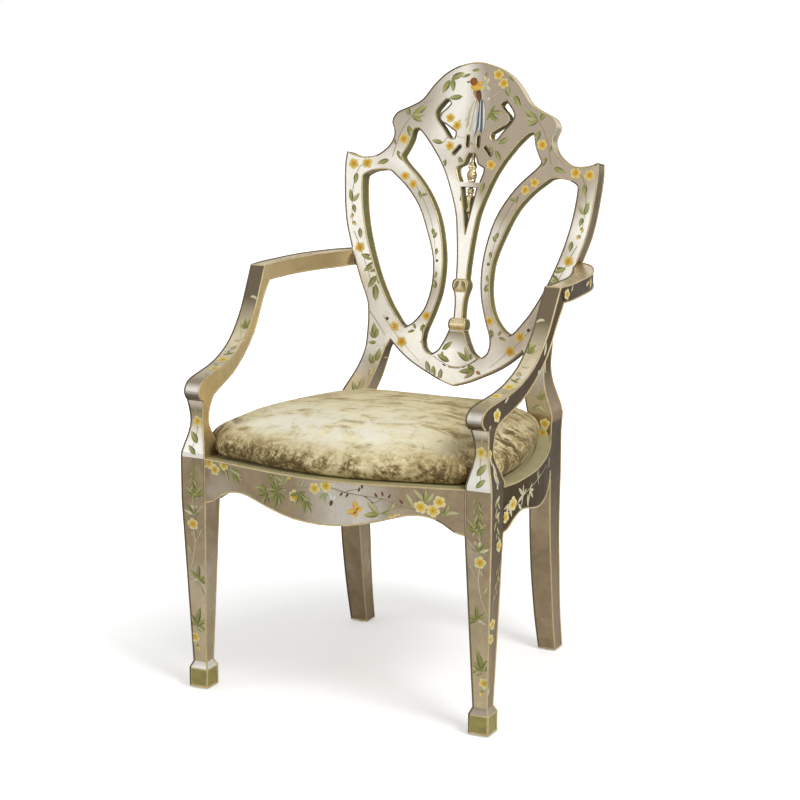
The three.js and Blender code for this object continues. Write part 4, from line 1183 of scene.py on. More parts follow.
def shield_chart():
    """Chart before the shield, from its middle to its right ear and from its point to its top."""
    rise = SHIELD_TOP.z - SHIELD_FOOT.z
    return Chart((0.0, SHIELD_FOOT.y, SHIELD_FOOT.z), (SHIELD_TOP.x, 0.0, 0.0),
                 (0.0, rise * math.tan(SHIELD_RAKE), rise), SHIELD_PIECES)


def paint_both_sides(name, chart, drawing, seed):
    """Lays one drawing on the right of the chair and its mirror on the left."""
    for side, place_of_chart in (("right", chart), ("left", chart.mirrored())):
        painter = Painter(place_of_chart, seed)
        drawing(painter)
        painter.lay(f"{name}_{side}")


def leg_front_spray(p):
    p.garland(((0.52, 1.0), (0.46, 0.95), (0.50, 0.90), (0.44, 0.84)), 6, 15)
    p.garland(((0.48, 0.93), (0.52, 0.88), (0.47, 0.83)), 8, 13, PALE_TONES)
    p.sprig((0.44, 0.835), 4, 27, 5, 130)
    p.leaves(CREAM_TONES, (0.36, 0.80, 150, 9, 6), (0.60, 0.80, 200, 9, 6))
    p.sprig((0.55, 0.755), 10, 22, 4, 140)
    p.leaves(CREAM_TONES, (0.55, 0.757, 68, 17, 6))
    p.twig(((0.10, 0.80), (0.30, 0.775), (0.52, 0.752)), 1.5, CREAM)
    p.twig(((0.56, 0.70), (0.50, 0.63), (0.64, 0.55), (0.96, 0.475)), 2.2, CREAM)
    p.twig(((0.16, 0.70), (0.38, 0.655), (0.50, 0.64)), 1.6, CREAM)
    p.blossoms((0.56, 0.715, 8.6, 10))
    p.leaves(PALE_TONES, (0.62, 0.685, 175, 9, 6), (0.66, 0.585, 30, 15, 7))
    p.sprig((0.42, 0.475), -8, 27, 5, 210)
    p.leaves(CREAM_TONES, (0.44, 0.478, 115, 15, 6))
    p.twig(((0.20, 0.41), (0.42, 0.455), (0.90, 0.475)), 1.6, PALE_TONES[1])
    p.sprig((0.62, 0.265), -18, 30, 5, 150)
    p.leaves(PALE_TONES, (0.60, 0.262, 240, 16, 8))
    p.twig(((0.88, 0.36), (0.80, 0.30), (0.64, 0.265)), 1.6, CREAM)
    p.blossoms((0.68, 0.215, 7.6, 30))
    p.bud((0.60, 0.182), 4, 200)
    p.twig(((0.34, 0.11), (0.55, 0.125), (0.74, 0.15)), 1.5, CREAM)


def leg_side_spray(p):
    p.garland(((0.40, 0.99), (0.50, 0.93), (0.44, 0.86), (0.56, 0.80)), 7, 15, PALE_TONES)
    p.leaves(CREAM_TONES, (0.42, 0.95, 50, 15, 7), (0.40, 0.89, 60, 14, 7))
    p.blossoms((0.66, 0.77, 8.4, 20))
    p.twig(((0.86, 0.70), (0.62, 0.62), (0.40, 0.56), (0.30, 0.47)), 1.2, CREAM)
    p.garland(((0.62, 0.70), (0.66, 0.63), (0.54, 0.56)), 8, 13, PALE_TONES)
    p.blossoms((0.40, 0.455, 8.2, 0), (0.34, 0.395, 7.8, 40))
    p.twig(((0.30, 0.37), (0.36, 0.29), (0.30, 0.20)), 1.0, CREAM)
    p.leaves(CREAM_TONES, (0.36, 0.20, 190, 14, 5))


def side_rail_spray(p):
    p.twig(((0.02, 0.28), (0.10, 0.42), (0.20, 0.62), (0.38, 0.76), (0.60, 0.80)), 1.5, CREAM)
    p.sprig((0.20, 0.62), -50, 25, 5, 190, CREAM_TONES)
    p.sprig((0.27, 0.67), 120, 26, 4, 110, CREAM_TONES)
    p.sprig((0.38, 0.76), 60, 24, 4, 150, PALE_TONES)
    p.sprig((0.08, 0.60), 160, 24, 5, 150, CREAM_TONES)
    p.leaves(CREAM_TONES, (0.25, 0.60, 175, 22, 8), (0.15, 0.50, 130, 18, 7))
    p.blossoms((0.105, 0.56, 9.4, 12), (0.055, 0.32, 9.0, 40))
    p.twig(((0.92, 0.86), (0.85, 0.52), (0.74, 0.32)), 1.2, CREAM)
    p.sprig((0.85, 0.55), 200, 22, 4, 160, CREAM_TONES)
    p.leaves(CREAM_TONES, (0.90, 0.80, 250, 20, 7))
    p.bud((0.83, 0.75), 5, 290)
    p.blossoms((0.70, 0.72, 8.2, 25))


def front_rail_left_spray(p):
    p.sprig((0.10, 0.93), 115, 27, 6, 100)
    p.leaves(PALE_TONES, (0.14, 0.90, 108, 28, 7), (0.125, 0.84, 165, 19, 6))
    p.blossoms((0.079, 0.80, 8.6, 0), (0.052, 0.93, 8.6, 20), (0.118, 0.95, 8.6, 44))
    p.sprig((0.345, 0.62), -30, 29, 6, 200)
    p.sprig((0.345, 0.58), 200, 27, 5, 140)
    p.leaves(GREEN_TONES, (0.335, 0.86, -60, 24, 8), (0.30, 0.62, 265, 23, 8))
    p.twig(((0.345, 0.62), (0.40, 0.76), (0.47, 0.80)), 0.9)
    p.sprig((0.425, 0.66), 160, 26, 5, 150)
    p.leaves(PALE_TONES, (0.43, 0.78, 35, 16, 6), (0.462, 0.62, 188, 24, 7))
    p.bud((0.388, 0.87), 4.5, 15)
    for place, turn, size, count, spread, tones in (((0.375, 0.80), -45, 26, 4, 110, PALE_TONES),
                                                    ((0.30, 0.52), 232, 25, 4, 110, GREEN_TONES),
                                                    ((0.45, 0.50), 172, 24, 4, 90, GREEN_TONES),
                                                    ((0.515, 0.72), 165, 19, 3, 90, PALE_TONES),
                                                    ((0.15, 0.86), 128, 27, 4, 70, GREEN_TONES)):
        p.sprig(place, turn, size, count, spread, tones)
    p.blossoms((0.409, 0.56, 8.8, 8), (0.486, 0.81, 8.8, 30), (0.527, 0.89, 8.8, 55))


def front_rail_right_spray(p):
    p.twig(((0.545, 0.86), (0.60, 0.78), (0.652, 0.74), (0.71, 0.70), (0.76, 0.58), (0.815, 0.50)), 1.4)
    p.twig(((0.652, 0.74), (0.672, 0.66), (0.682, 0.60), (0.70, 0.66), (0.712, 0.72)), 0.9, BARK)
    p.twig(((0.588, 0.78), (0.606, 0.84), (0.63, 0.88), (0.647, 0.90)), 0.9, BARK)
    p.leaves(BARK_TONES, (0.583, 0.79, 215, 8.5, 3.4), (0.602, 0.78, 210, 8.5, 3.4),
             (0.647, 0.90, -5, 8.5, 3.4), (0.634, 0.82, 20, 8.5, 3.4), (0.712, 0.76, -12, 8.5, 3.4),
             (0.728, 0.72, 30, 8.5, 3.4), (0.681, 0.62, 225, 8.5, 3.4), (0.774, 0.62, -40, 8.5, 3.4),
             (0.694, 0.73, -30, 8.5, 3.4))
    p.leaves(PALE_TONES, (0.699, 0.36, -42, 27, 9))
    p.leaves(GREEN_TONES, (0.70, 0.36, 262, 25, 9), (0.71, 0.36, 65, 16, 6))
    p.twig(((0.70, 0.36), (0.735, 0.48), (0.775, 0.56)), 1.0, (0.33, 0.33, 0.12))
    p.leaves(PALE_TONES, (0.735, 0.47, 30, 15, 5))
    p.leaves(PETAL_TONES, (0.727, 0.30, 95, 13, 8), (0.742, 0.30, 60, 13, 8))
    p.leaves(PALE_TONES, (0.808, 0.54, -28, 25, 8.5), (0.842, 0.68, -42, 26, 8))
    p.leaves(GREEN_TONES, (0.842, 0.68, 4, 21, 8))
    p.leaves(PALE_TONES, (0.845, 0.68, 38, 19, 7))
    p.twig(((0.878, 0.46), (0.905, 0.40), (0.935, 0.20)), 1.1)
    p.leaf((0.893, 0.40), 48, 27, 8, PALE_TONES, bend=30)
    p.leaves(GREEN_TONES, (0.90, 0.40, 24, 20, 6))
    p.blossoms((0.828, 0.57, 8.9, 5), (0.866, 0.51, 8.9, 28), (0.886, 0.71, 8.9, 50))


def butterfly(p, place, size):
    """Four orange wings round a thin dark body."""
    for turn, length in ((-8, 1.0), (62, 0.72), (255, 0.95), (190, 0.66)):
        p.leaf(place, turn, size * length, size * 0.55 * length, WING_TONES)
    p.leaf(place, 215, size * 0.45, size * 0.14, BARK_TONES)
    p.leaf(place, 35, size * 0.40, size * 0.12, BARK_TONES)


def bee(p, place, size):
    """Two clear wings over a dark striped body."""
    p.leaf(place, -18, size, size * 0.42, WHITE_TONES)
    p.leaf(place, 38, size * 0.9, size * 0.36, WHITE_TONES)
    p.leaf(place, 195, size * 0.75, size * 0.42, BARK_TONES)
    p.dot(place, size * 0.16, BARK, (0.12, 0.08, 0.04))
    p.dot(place, size * 0.10, CREAM, CREAM, start=(-size * 0.35, -size * 0.62))
    p.dot(place, size * 0.08, CREAM, CREAM, start=(-size * 0.62, -size * 0.66))


def songbird(p):
    """A small bird among pale petals, with a long blue tail hanging down."""
    p.twig(((0.30, 0.885), (0.22, 0.925), (0.12, 0.935)), 1.2, CREAM)
    p.twig(((0.19, 0.915), (0.10, 0.885), (0.06, 0.87)), 1.1, CREAM)
    p.leaves(GREEN_TONES, (-0.11, 0.895, 262, 26, 9), (-0.06, 0.965, 250, 18, 5),
             (-0.05, 0.975, 80, 16, 5))
    for turn, length in ((-10, 16), (35, 13), (130, 15), (200, 14)):
        p.leaf((0.062, 0.935), turn, length, 8, CREAM_TONES)
    p.leaves(BODY_TONES, (0.058, 0.958, 20, 9, 4.5))
    for turn, length, tones in ((205, 44, WHITE_TONES), (196, 54, OCHRE_TONES), (188, 56, WHITE_TONES),
                                (178, 60, WHITE_TONES)):
        p.leaf((0.0, 0.89), turn, length, 9, tones)
    p.twig(((0.005, 0.885), (-0.012, 0.84), (-0.03, 0.79)), 1.6, (0.55, 0.40, 0.15))
    for shift, turn, length, tones in ((0.0, 172, 56, TAIL_TONES), (1.4, 170, 62, WHITE_TONES),
                                       (2.6, 168, 66, TAIL_TONES), (4.4, 167, 60, TAIL_TONES),
                                       (6.0, 166, 58, WHITE_TONES), (6.8, 168, 50, TAIL_TONES),
                                       (1.0, 176, 68, TAIL_TONES)):
        p.leaf((0.03, 0.888), turn, length, 4.8, tones, bend=10.0, start=(shift, 0.0))
    p.leaves(BODY_TONES, (-0.015, 0.928, 158, 28, 14))
    p.leaves(BARK_TONES, (0.002, 0.924, 164, 31, 9))
    p.leaves(WING_TONES, (-0.018, 0.928, 62, 17, 8), (-0.055, 0.925, 90, 25, 12))
    p.dot((-0.03, 0.942), 7.0, (0.46, 0.15, 0.03), (0.26, 0.07, 0.02))
    p.leaves(BARK_TONES, (-0.058, 0.941, 262, 7, 2.8))
    p.dot((-0.036, 0.943), 0.9, (0.01, 0.01, 0.01), (0.02, 0.02, 0.02))
    p.dot((0.10, 0.89), 2.6, CREAM, (0.9, 0.86, 0.74))
    p.sprig((0.12, 0.85), 120, 25, 4, 150)


def crest_spray(p):
    p.leaves(GREEN_TONES, (-0.21, 0.948, 64, 18), (-0.20, 0.95, 172, 16), (-0.22, 0.945, 208, 18),
             (0.30, 0.905, 150, 17), (0.255, 0.90, -15, 15),
             (0.12, 0.84, 120, 14), slim=0.40, scale=SHIELD_LEAF)
    p.blossoms((0.162, 0.965, 8, 10), (0.208, 0.94, 8, 40))
    p.sprig((0.25, 0.955), 60, 18, 3, 100)


def splat_head_spray(p):
    p.twig(((-0.235, 0.75), (-0.18, 0.775), (-0.10, 0.77), (-0.04, 0.77)), 0.9)
    p.leaves(GREEN_TONES, (-0.20, 0.70, 200, 15), (-0.10, 0.71, 150, 15), (-0.065, 0.755, 100, 12),
             (-0.235, 0.75, -80, 15), (0.205, 0.755, 60, 16), (0.185, 0.735, 150, 16),
             (0.12, 0.635, 200, 14), (-0.06, 0.59, 160, 12), (-0.155, 0.80, 40, 12),
             (0.165, 0.72, -20, 13), slim=0.36, scale=SHIELD_LEAF)
    p.blossoms((-0.192, 0.828, 7.6, 0), (-0.134, 0.806, 7.6, 25), (-0.177, 0.742, 7.6, 50),
               (0.161, 0.69, 7.6, 15))


def shoulder_spray(p):
    p.twig(((0.63, 0.70), (0.585, 0.77), (0.52, 0.82), (0.43, 0.862), (0.36, 0.88)), 1.0)
    for turn, length, tones in ((-54, 33, GREEN_TONES), (-80, 25, PALE_TONES), (-112, 22, GREEN_TONES)):
        p.leaf((0.50, 0.828), turn, length, length * 0.34, tones)
    p.leaves(GREEN_TONES, (0.516, 0.83, 30, 16), (0.523, 0.80, 200, 16), (0.61, 0.74, 45, 16),
             (0.596, 0.72, 215, 15), (0.655, 0.69, 110, 16), slim=0.37, scale=SHIELD_LEAF)
    p.blossoms((0.55, 0.757, 8.4, 18))


def ear_spray(p):
    p.twig(((0.83, 0.677), (0.89, 0.66), (0.925, 0.60), (0.92, 0.53), (0.905, 0.48)), 1.2)
    p.blossoms((0.83, 0.677, 8.6, 6), (0.935, 0.672, 8.6, 33))
    p.leaves(GREEN_TONES, (0.905, 0.645, 175, 20, 9), (0.925, 0.552, 14, 23, 8))
    p.leaves(PALE_TONES, (0.92, 0.552, -36, 20, 7))
    p.leaves(GREEN_TONES, (0.91, 0.545, 195, 16, 7))
    p.bud((0.905, 0.515), 3.6, 150)
    p.bud((0.90, 0.492), 3.6, 215)
    p.twig(((0.89, 0.46), (0.85, 0.43), (0.80, 0.385), (0.745, 0.335), (0.69, 0.27)), 0.9)
    p.leaves(GREEN_TONES, (0.845, 0.472, 190, 15), (0.715, 0.378, 76, 20), (0.70, 0.368, 132, 21),
             (0.685, 0.345, 110, 11), (0.68, 0.326, 148, 21),
             (0.682, 0.30, 186, 24), slim=0.40, scale=1.25)
    p.leaves(OCHRE_TONES, (0.675, 0.318, 216, 16, 6))
    p.blossoms((0.83, 0.411, 8.2, 40))


def flank_spray(p):
    p.twig(((0.60, 0.205), (0.50, 0.155), (0.40, 0.115), (0.28, 0.07)), 0.9)
    p.blossoms((0.505, 0.172, 8.4, 14), (0.435, 0.126, 8.4, 44))
    p.dot((0.565, 0.195), 3.0, BARK, (0.12, 0.08, 0.04))
    p.leaves(GREEN_TONES, (0.336, 0.166, 110, 15, 5), (0.33, 0.17, 30, 14, 5),
             (0.29, 0.165, -20, 14, 5))


def rib_spray(p):
    p.twig(((0.53, 0.655), (0.46, 0.63), (0.38, 0.59), (0.30, 0.53), (0.25, 0.47), (0.215, 0.39)), 0.8)
    p.blossoms((0.515, 0.642, 7.4, 8), (0.445, 0.618, 7.4, 36))
    p.leaves(GREEN_TONES, (0.395, 0.60, 200, 15, 5), (0.375, 0.585, 285, 14, 5))
    p.leaves(GREEN_TONES, (0.262, 0.485, 200, 11), (0.25, 0.455, 330, 10), (0.215, 0.425, 180, 10),
             (0.20, 0.352, 150, 14), (0.197, 0.30, 20, 14), slim=0.50, scale=RIB_LEAF)
    p.dot((0.205, 0.386), 2.6, LEAF_MID, LEAF_DEEP)
    p.blossoms((0.25, 0.213, 7.6, 20))
    p.sprig((0.262, 0.185), 170, 15, 3, 90)


def shield_foot_spray(p):
    p.leaves(PALE_TONES, (-0.225, 0.075, 160, 18), (-0.165, 0.062, 175, 18),
             (-0.10, 0.055, 185, 17), slim=0.34, scale=SHIELD_LEAF)
    p.twig(((-0.285, 0.133), (-0.20, 0.101), (-0.082, 0.073), (0.007, 0.064), (0.097, 0.071),
           (0.187, 0.092)), 1.3, (0.34, 0.27, 0.15))
    # A small drop on the knop: painted shade on the two side petals, a painted highlight on the middle
    # one.
    for turn, shift, tones in ((205, -3.0, SHADE_GOLD), (155, 3.0, SHADE_GOLD), (180, 0.0, LIGHT_GOLD)):
        p.leaf((0.0, 0.330), turn, 17, 7, tones, start=(shift, 0.0))
    p.leaves(GREEN_TONES, (0.115, 0.084, -56, 27), slim=0.31)
    p.leaves(PALE_TONES, (0.12, 0.086, -22, 26), slim=0.31)
    p.leaves(GREEN_TONES, (0.13, 0.088, 14, 21), (0.17, 0.058, -98, 31), slim=0.31)
    p.leaves(PALE_TONES, (0.17, 0.056, -126, 24), slim=0.31)
    p.leaves(GREEN_TONES, (0.17, 0.062, -70, 22), slim=0.31)
    p.leaves(GREEN_TONES, (-0.035, 0.078, -66, 26, 10), (-0.10, 0.112, 48, 24, 8.5))
    p.leaves(PALE_TONES, (-0.095, 0.108, 190, 12, 5))
    p.leaves(BREAST_TONES, (0.18, 0.056, 120, 10, 6))


def sweep_spray(p):
    p.leaf((0.70, 0.80), -70, 17, 5, CREAM_TONES, bend=-40)
    p.leaves(GREEN_TONES, (0.40, 0.79, -100, 13, 7))
    p.leaves(PALE_TONES, (0.35, 0.735, 185, 13, 6))
    p.sprig((0.50, 0.62), 0, 25, 4, 90)
    p.twig(((0.80, 0.66), (0.55, 0.60), (0.40, 0.52), (0.36, 0.47)), 1.1, CREAM)
    p.leaf((0.66, 0.54), -100, 17, 6, CREAM_TONES, bend=40)
    p.leaves(PALE_TONES, (0.40, 0.50, 150, 15, 7))
    p.leaves(WHITE_TONES, (0.50, 0.45, 60, 13, 9))
    p.sprig((0.45, 0.42), 30, 15, 3, 120)
    p.blossoms((0.45, 0.365, 9.0, 10))
    p.leaves(PALE_TONES, (0.38, 0.30, 60, 15, 6))
    p.blossoms((0.33, 0.262, 8.2, 40))
    p.leaves(PALE_TONES, (0.30, 0.20, 200, 16, 6))


def sweep_side_spray(p):
    p.blossoms((0.17, 0.10, 9.4, 10))
    p.leaves(CREAM_TONES, (0.26, 0.18, 60, 15, 5), (0.10, 0.04, 210, 11, 5), (0.74, 0.46, 20, 22, 7))
    p.leaves(WHITE_TONES, (0.68, 0.36, 200, 15, 5))


def elbow_side_spray(p):
    p.blossoms((0.075, 0.48, 7.6, 25))
    p.leaves(CREAM_TONES, (0.13, 0.55, 40, 13, 5), (0.035, 0.35, 200, 10, 4), (0.42, 0.50, 75, 20, 6))
    p.blossoms((0.53, 0.50, 6.8, 0))


def elbow_top_spray(p):
    p.garland(((0.80, 0.20), (0.74, 0.35), (0.70, 0.50), (0.62, 0.62)), 13, 13, CREAM_TONES, 1.0, 38.0,
              CREAM)


def support_spray(p):
    p.leaves(GREEN_TONES, (0.36, 0.36, 38, 23, 10), (0.38, 0.20, 48, 20, 8))
    p.twig(((0.44, 0.66), (0.46, 0.46), (0.56, 0.28)), 0.9)
    p.blossoms((0.45, 0.68, 8.0, 12))
    p.leaves(PALE_TONES, (0.46, 0.80, 10, 12, 5))


def support_side_spray(p):
    p.garland(((0.40, 0.72), (0.44, 0.50), (0.50, 0.26), (0.44, 0.02)), 8, 19, CREAM_TONES, 1.0, 24.0,
              CREAM)
    p.blossoms((0.36, 0.66, 6, 20))


def stile_seam(p):
    p.twig(((0.489, 0.717), (0.414, 0.7047), (0.303, 0.686), (0.210, 0.6698), (0.135, 0.6555)), 1.5,
           (0.30, 0.25, 0.16))


def left_stile_spray(p):
    p.leaves(GREEN_TONES, (0.70, 0.647, -8, 27), (0.70, 0.647, -44, 15), (0.70, 0.647, 20, 18),
             (0.73, 0.638, -92, 15), (0.745, 0.594, -32, 19), (0.74, 0.594, 10, 18),
             (0.80, 0.60, 4, 22), slim=0.42)
    p.leaves(OCHRE_TONES, (0.745, 0.568, 4, 15, 10))
    p.leaves(PALE_TONES, (0.60, 0.535, 12, 27, 9))
    p.leaves(GREEN_TONES, (0.585, 0.53, -35, 24, 9))
    p.twig(((0.40, 0.50), (0.52, 0.525), (0.66, 0.555)), 1.0, CREAM)
    p.leaves(PALE_TONES, (0.54, 0.52, -60, 18, 7))


def rear_stile_spray(p):
    p.twig(((0.34, 0.60), (0.42, 0.575), (0.54, 0.55), (0.63, 0.522)), 0.9, CREAM)
    p.sprig((0.47, 0.555), 20, 22, 4, 120)
    p.leaves(GREEN_TONES, (0.36, 0.535, 70, 20, 7))
    p.leaves(PALE_TONES, (0.60, 0.53, 300, 18, 6))
    p.blossoms((0.586, 0.508, 8.4, 5), (0.56, 0.489, 8.4, 35))
    p.leaves(PALE_TONES, (0.44, 0.50, 100, 16, 6))


# Operators

WHITE = (1.0, 1.0, 1.0, 1.0)
SKY_BY_HEIGHT = ((0.0, 1.25), (0.2, 1.25), (0.3, 0.55), (0.6, 0.5), (0.8, 0.95), (1.0, 1.05))
SKY_BY_DIRECTION = (
    (0.0, 0.85), (0.08, 0.8), (0.14, 0.84), (0.22, 1.0), (0.30, 0.95), (0.37, 1.0), (0.42, 1.0),
    (0.455, 0.35), (0.5, 1.0), (0.56, 1.0), (0.61, 0.35), (0.66, 0.75), (0.75, 0.9), (0.9, 0.8),
    (1.0, 0.85),
)
TACK_LINE = 0.28
LIP_HEIGHT = 0.3
LIP_SPAN = 0.28
LEG_CLEARANCE = 0.4 * MM


class CHAIR_OT_stage(bpy.types.Operator):
    """Sets the camera, lamps, floor and background"""

    bl_idname = "chair.stage"
    bl_label = "Studio"

    def execute(self, context):
        studio = context.scene.chair_studio
        context.scene.view_settings.view_transform = "Standard"
        self.camera(context, studio)
        self.lamps(studio)
        self.sky(context, studio)
        self.floor()
        return {"FINISHED"}

    def camera(self, context, studio):
        eye, target = Vector(studio.eye), Vector(studio.target)
        turn = (target - eye).to_track_quat("-Z", "Y").to_euler()
        bpy.ops.object.camera_add(location=eye, rotation=turn)
        camera = context.object
        camera.data.sensor_width = 36.0
        camera.data.lens = studio.lens
        context.scene.camera = camera

    def lamps(self, studio):
        aim = Vector((0.0, 0.0, 0.5))
        plan = (
            ("key", (2.1, -1.15, 2.5), 1.0, studio.key_power),
            ("fill", (-2.2, -1.9, 1.5), 1.8, studio.fill_power),
        )
        for name, spot, size, power in plan:
            turn = (aim - Vector(spot)).to_track_quat("-Z", "Y").to_euler()
            bpy.ops.object.light_add(type="AREA", location=spot, rotation=turn)
            lamp = bpy.context.object
            lamp.name = name
            lamp.data.size = size
            lamp.data.energy = power

    def sky(self, context, studio):
        """White to the eye, banded in reflections as a studio with screens, softer as light."""
        world = bpy.data.worlds.new("studio")
        context.scene.world = world
        world.use_nodes = True
        world.node_tree.nodes.clear()
        tree = Shader(world.node_tree)
        ray = tree.node("ShaderNodeLightPath").outputs
        mirrored = tree.times(self.bands(tree), ray["Is Glossy Ray"])
        seen = tree.most(ray["Is Camera Ray"], ray["Is Transmission Ray"])
        soft = tree.spread(tree.most(seen, ray["Is Glossy Ray"]), 0.0, 1.0, studio.sky_level, 0.0)
        shell = tree.node("ShaderNodeBackground", {
            "Color": WHITE, "Strength": tree.sum(tree.sum(mirrored, soft), seen)})
        tree.node("ShaderNodeOutputWorld", {"Surface": shell.outputs["Background"]})

    def bands(self, tree):
        """Level of the mirrored studio by height and by direction."""
        x, y, z = tree.axes(tree.node("ShaderNodeTexCoord").outputs["Generated"])
        share = tree.spread(tree.sum(y, x, "ARCTAN2"), -math.pi, math.pi)
        return tree.times(self.ramp(tree, z, SKY_BY_HEIGHT), self.ramp(tree, share, SKY_BY_DIRECTION))

    def ramp(self, tree, value, stops):
        made = tree.node("ShaderNodeValToRGB", {"Fac": value})
        steps = made.color_ramp.elements
        while len(steps) < len(stops):
            steps.new(0.5)
        for step, (place, level) in zip(steps, stops):
            step.position = place
            step.color = (level, level, level, 1.0)
        return made.outputs["Color"]

    def floor(self):
        """A near-white floor that glows for the camera, weakly near the chair so its shadow shows, and so
        lifts to the background's white away from it.
        """
        bpy.ops.mesh.primitive_plane_add(size=40.0, location=(0.0, 0.0, 0.0))
        ground = bpy.context.object
        ground.name = "studio_floor"
        m = Surface("studio_floor")
        tone = m.blend(m.noise(m.coords, 3.0), (0.90, 0.90, 0.90), (0.93, 0.93, 0.93))
        seen = m.node("ShaderNodeLightPath").outputs["Is Camera Ray"]
        away = m.node("ShaderNodeVectorMath", {"Vector": m.coords}, operation="LENGTH")
        far = m.spread(away.outputs["Value"], 0.36, 1.0, 0.42, 1.0)
        ground.data.materials.append(m.coat(tone, 0.8, specular=0.1, glow=WHITE,
                                            glow_strength=m.times(seen, far)))


class CHAIR_OT_legs(bpy.types.Operator):
    """Dresses the front and rear legs and their glides"""

    bl_idname = "chair.legs"
    bl_label = "Legs"

    def execute(self, context):
        for side in SIDES:
            dress(f"front_leg_{side}", leg_colour)
            dress(f"rear_leg_{side}", shield_colour())
            for end in ("front", "rear"):
                finish_node(f"glide_{end}_{side}", "glide_pad")
        return {"FINISHED"}


class CHAIR_OT_seat_frame(bpy.types.Operator):
    """Dresses the rails and finishes what is under the cushion"""

    bl_idname = "chair.seat_frame"
    bl_label = "Seat frame"

    def execute(self, context):
        dress("front_rail", rail_colour)
        dress("rear_rail", body_colour)
        for side in SIDES:
            dress(f"side_rail_{side}", rail_colour)
            for end in ("front", "rear"):
                finish_node(f"corner_block_{end}_{side}", "bare_wood")
                finish_node(f"seat_screw_{end}_{side}", "plain_steel")
        finish_node("seat_board", "pale_ledge")
        return {"FINISHED"}


class CHAIR_OT_arms(bpy.types.Operator):
    """Dresses the arms and their supports"""

    bl_idname = "chair.arms"
    bl_label = "Arms"

    def execute(self, context):
        for side in SIDES:
            dress(f"arm_support_{side}", support_colour)
            dress(f"arm_sweep_{side}", arm_colour)
            dress(f"arm_elbow_{side}", elbow_colour)
            for pin in ("neck_dowel", "mitre_dowel", "arm_dowel"):
                finish_node(f"{pin}_{side}", "bare_wood")
        return {"FINISHED"}


class CHAIR_OT_shield(bpy.types.Operator):
    """Dresses the shield's rails, ribs, splat and turned ornaments"""

    bl_idname = "chair.shield"
    bl_label = "Shield"

    def execute(self, context):
        dress("splat", splat_colour())
        for node in ("crest_rail", "shield_base", "shield_rib_right", "shield_rib_left"):
            dress(node, shield_colour())
        for node in ("slot_finial", "slot_drop"):
            dress(node, lambda face: GOLD)
        return {"FINISHED"}


class CHAIR_OT_leg_sprays(bpy.types.Operator):
    """Paints flowers and twigs on the front legs"""

    bl_idname = "chair.leg_sprays"
    bl_label = "Leg sprays"

    def execute(self, context):
        leg = "front_leg_right"
        paint_both_sides("leg_front_spray", front_chart(leg), leg_front_spray, 3)
        paint_both_sides("leg_side_spray", outer_chart(leg), leg_side_spray, 5)
        return {"FINISHED"}


class CHAIR_OT_rail_sprays(bpy.types.Operator):
    """Paints flowers, twigs and insects on the seat rails"""

    bl_idname = "chair.rail_sprays"
    bl_label = "Rail sprays"

    def execute(self, context):
        front = Painter(front_chart("front_rail"), 7)
        front_rail_left_spray(front)
        front_rail_right_spray(front)
        butterfly(front, (0.627, 0.40), 17)
        bee(front, (0.546, 0.58), 13)
        front.lay("front_rail_spray")
        paint_both_sides("side_rail_spray", outer_chart("side_rail_right"), side_rail_spray, 11)
        return {"FINISHED"}


class CHAIR_OT_arm_sprays(bpy.types.Operator):
    """Paints flowers and leaves on the arms, their supports and the foot of the stiles"""

    bl_idname = "chair.arm_sprays"
    bl_label = "Arm sprays"

    def execute(self, context):
        plan = (
            ("sweep_spray", rising_chart("arm_sweep_right"), sweep_spray, 13),
            ("sweep_side_spray", outer_chart("arm_sweep_right"), sweep_side_spray, 17),
            ("elbow_side_spray", outer_chart("arm_elbow_right"), elbow_side_spray, 19),
            ("elbow_top_spray", top_chart("arm_elbow_right"), elbow_top_spray, 23),
            ("support_spray", front_chart("arm_support_right"), support_spray, 29),
            ("support_side_spray", outer_chart("arm_support_right"), support_side_spray, 59),
            ("stile_seam", front_chart("rear_leg_right"), stile_seam, 61),
        )
        for name, chart, drawing, seed in plan:
            paint_both_sides(name, chart, drawing, seed)
        for node, drawing in (("rear_leg_right", rear_stile_spray), ("rear_leg_left", left_stile_spray)):
            stile = Painter(front_chart(node), 31)
            drawing(stile)
            stile.lay(drawing.__name__)
        return {"FINISHED"}


class CHAIR_OT_shield_sprays(bpy.types.Operator):
    """Paints flowers, twigs and a bird on the shield"""

    bl_idname = "chair.shield_sprays"
    bl_label = "Shield sprays"

    def execute(self, context):
        plan = (
            ("ear_spray", ear_spray, 37),
            ("flank_spray", flank_spray, 41),
            ("rib_spray", rib_spray, 43),
            ("shoulder_spray", shoulder_spray, 47),
        )
        for name, drawing, seed in plan:
            paint_both_sides(name, shield_chart(), drawing, seed)
        middle = Painter(shield_chart(), 53)
        crest_spray(middle)
        splat_head_spray(middle)
        shield_foot_spray(middle)
        songbird(middle)
        middle.lay("shield_middle_spray")
        return {"FINISHED"}


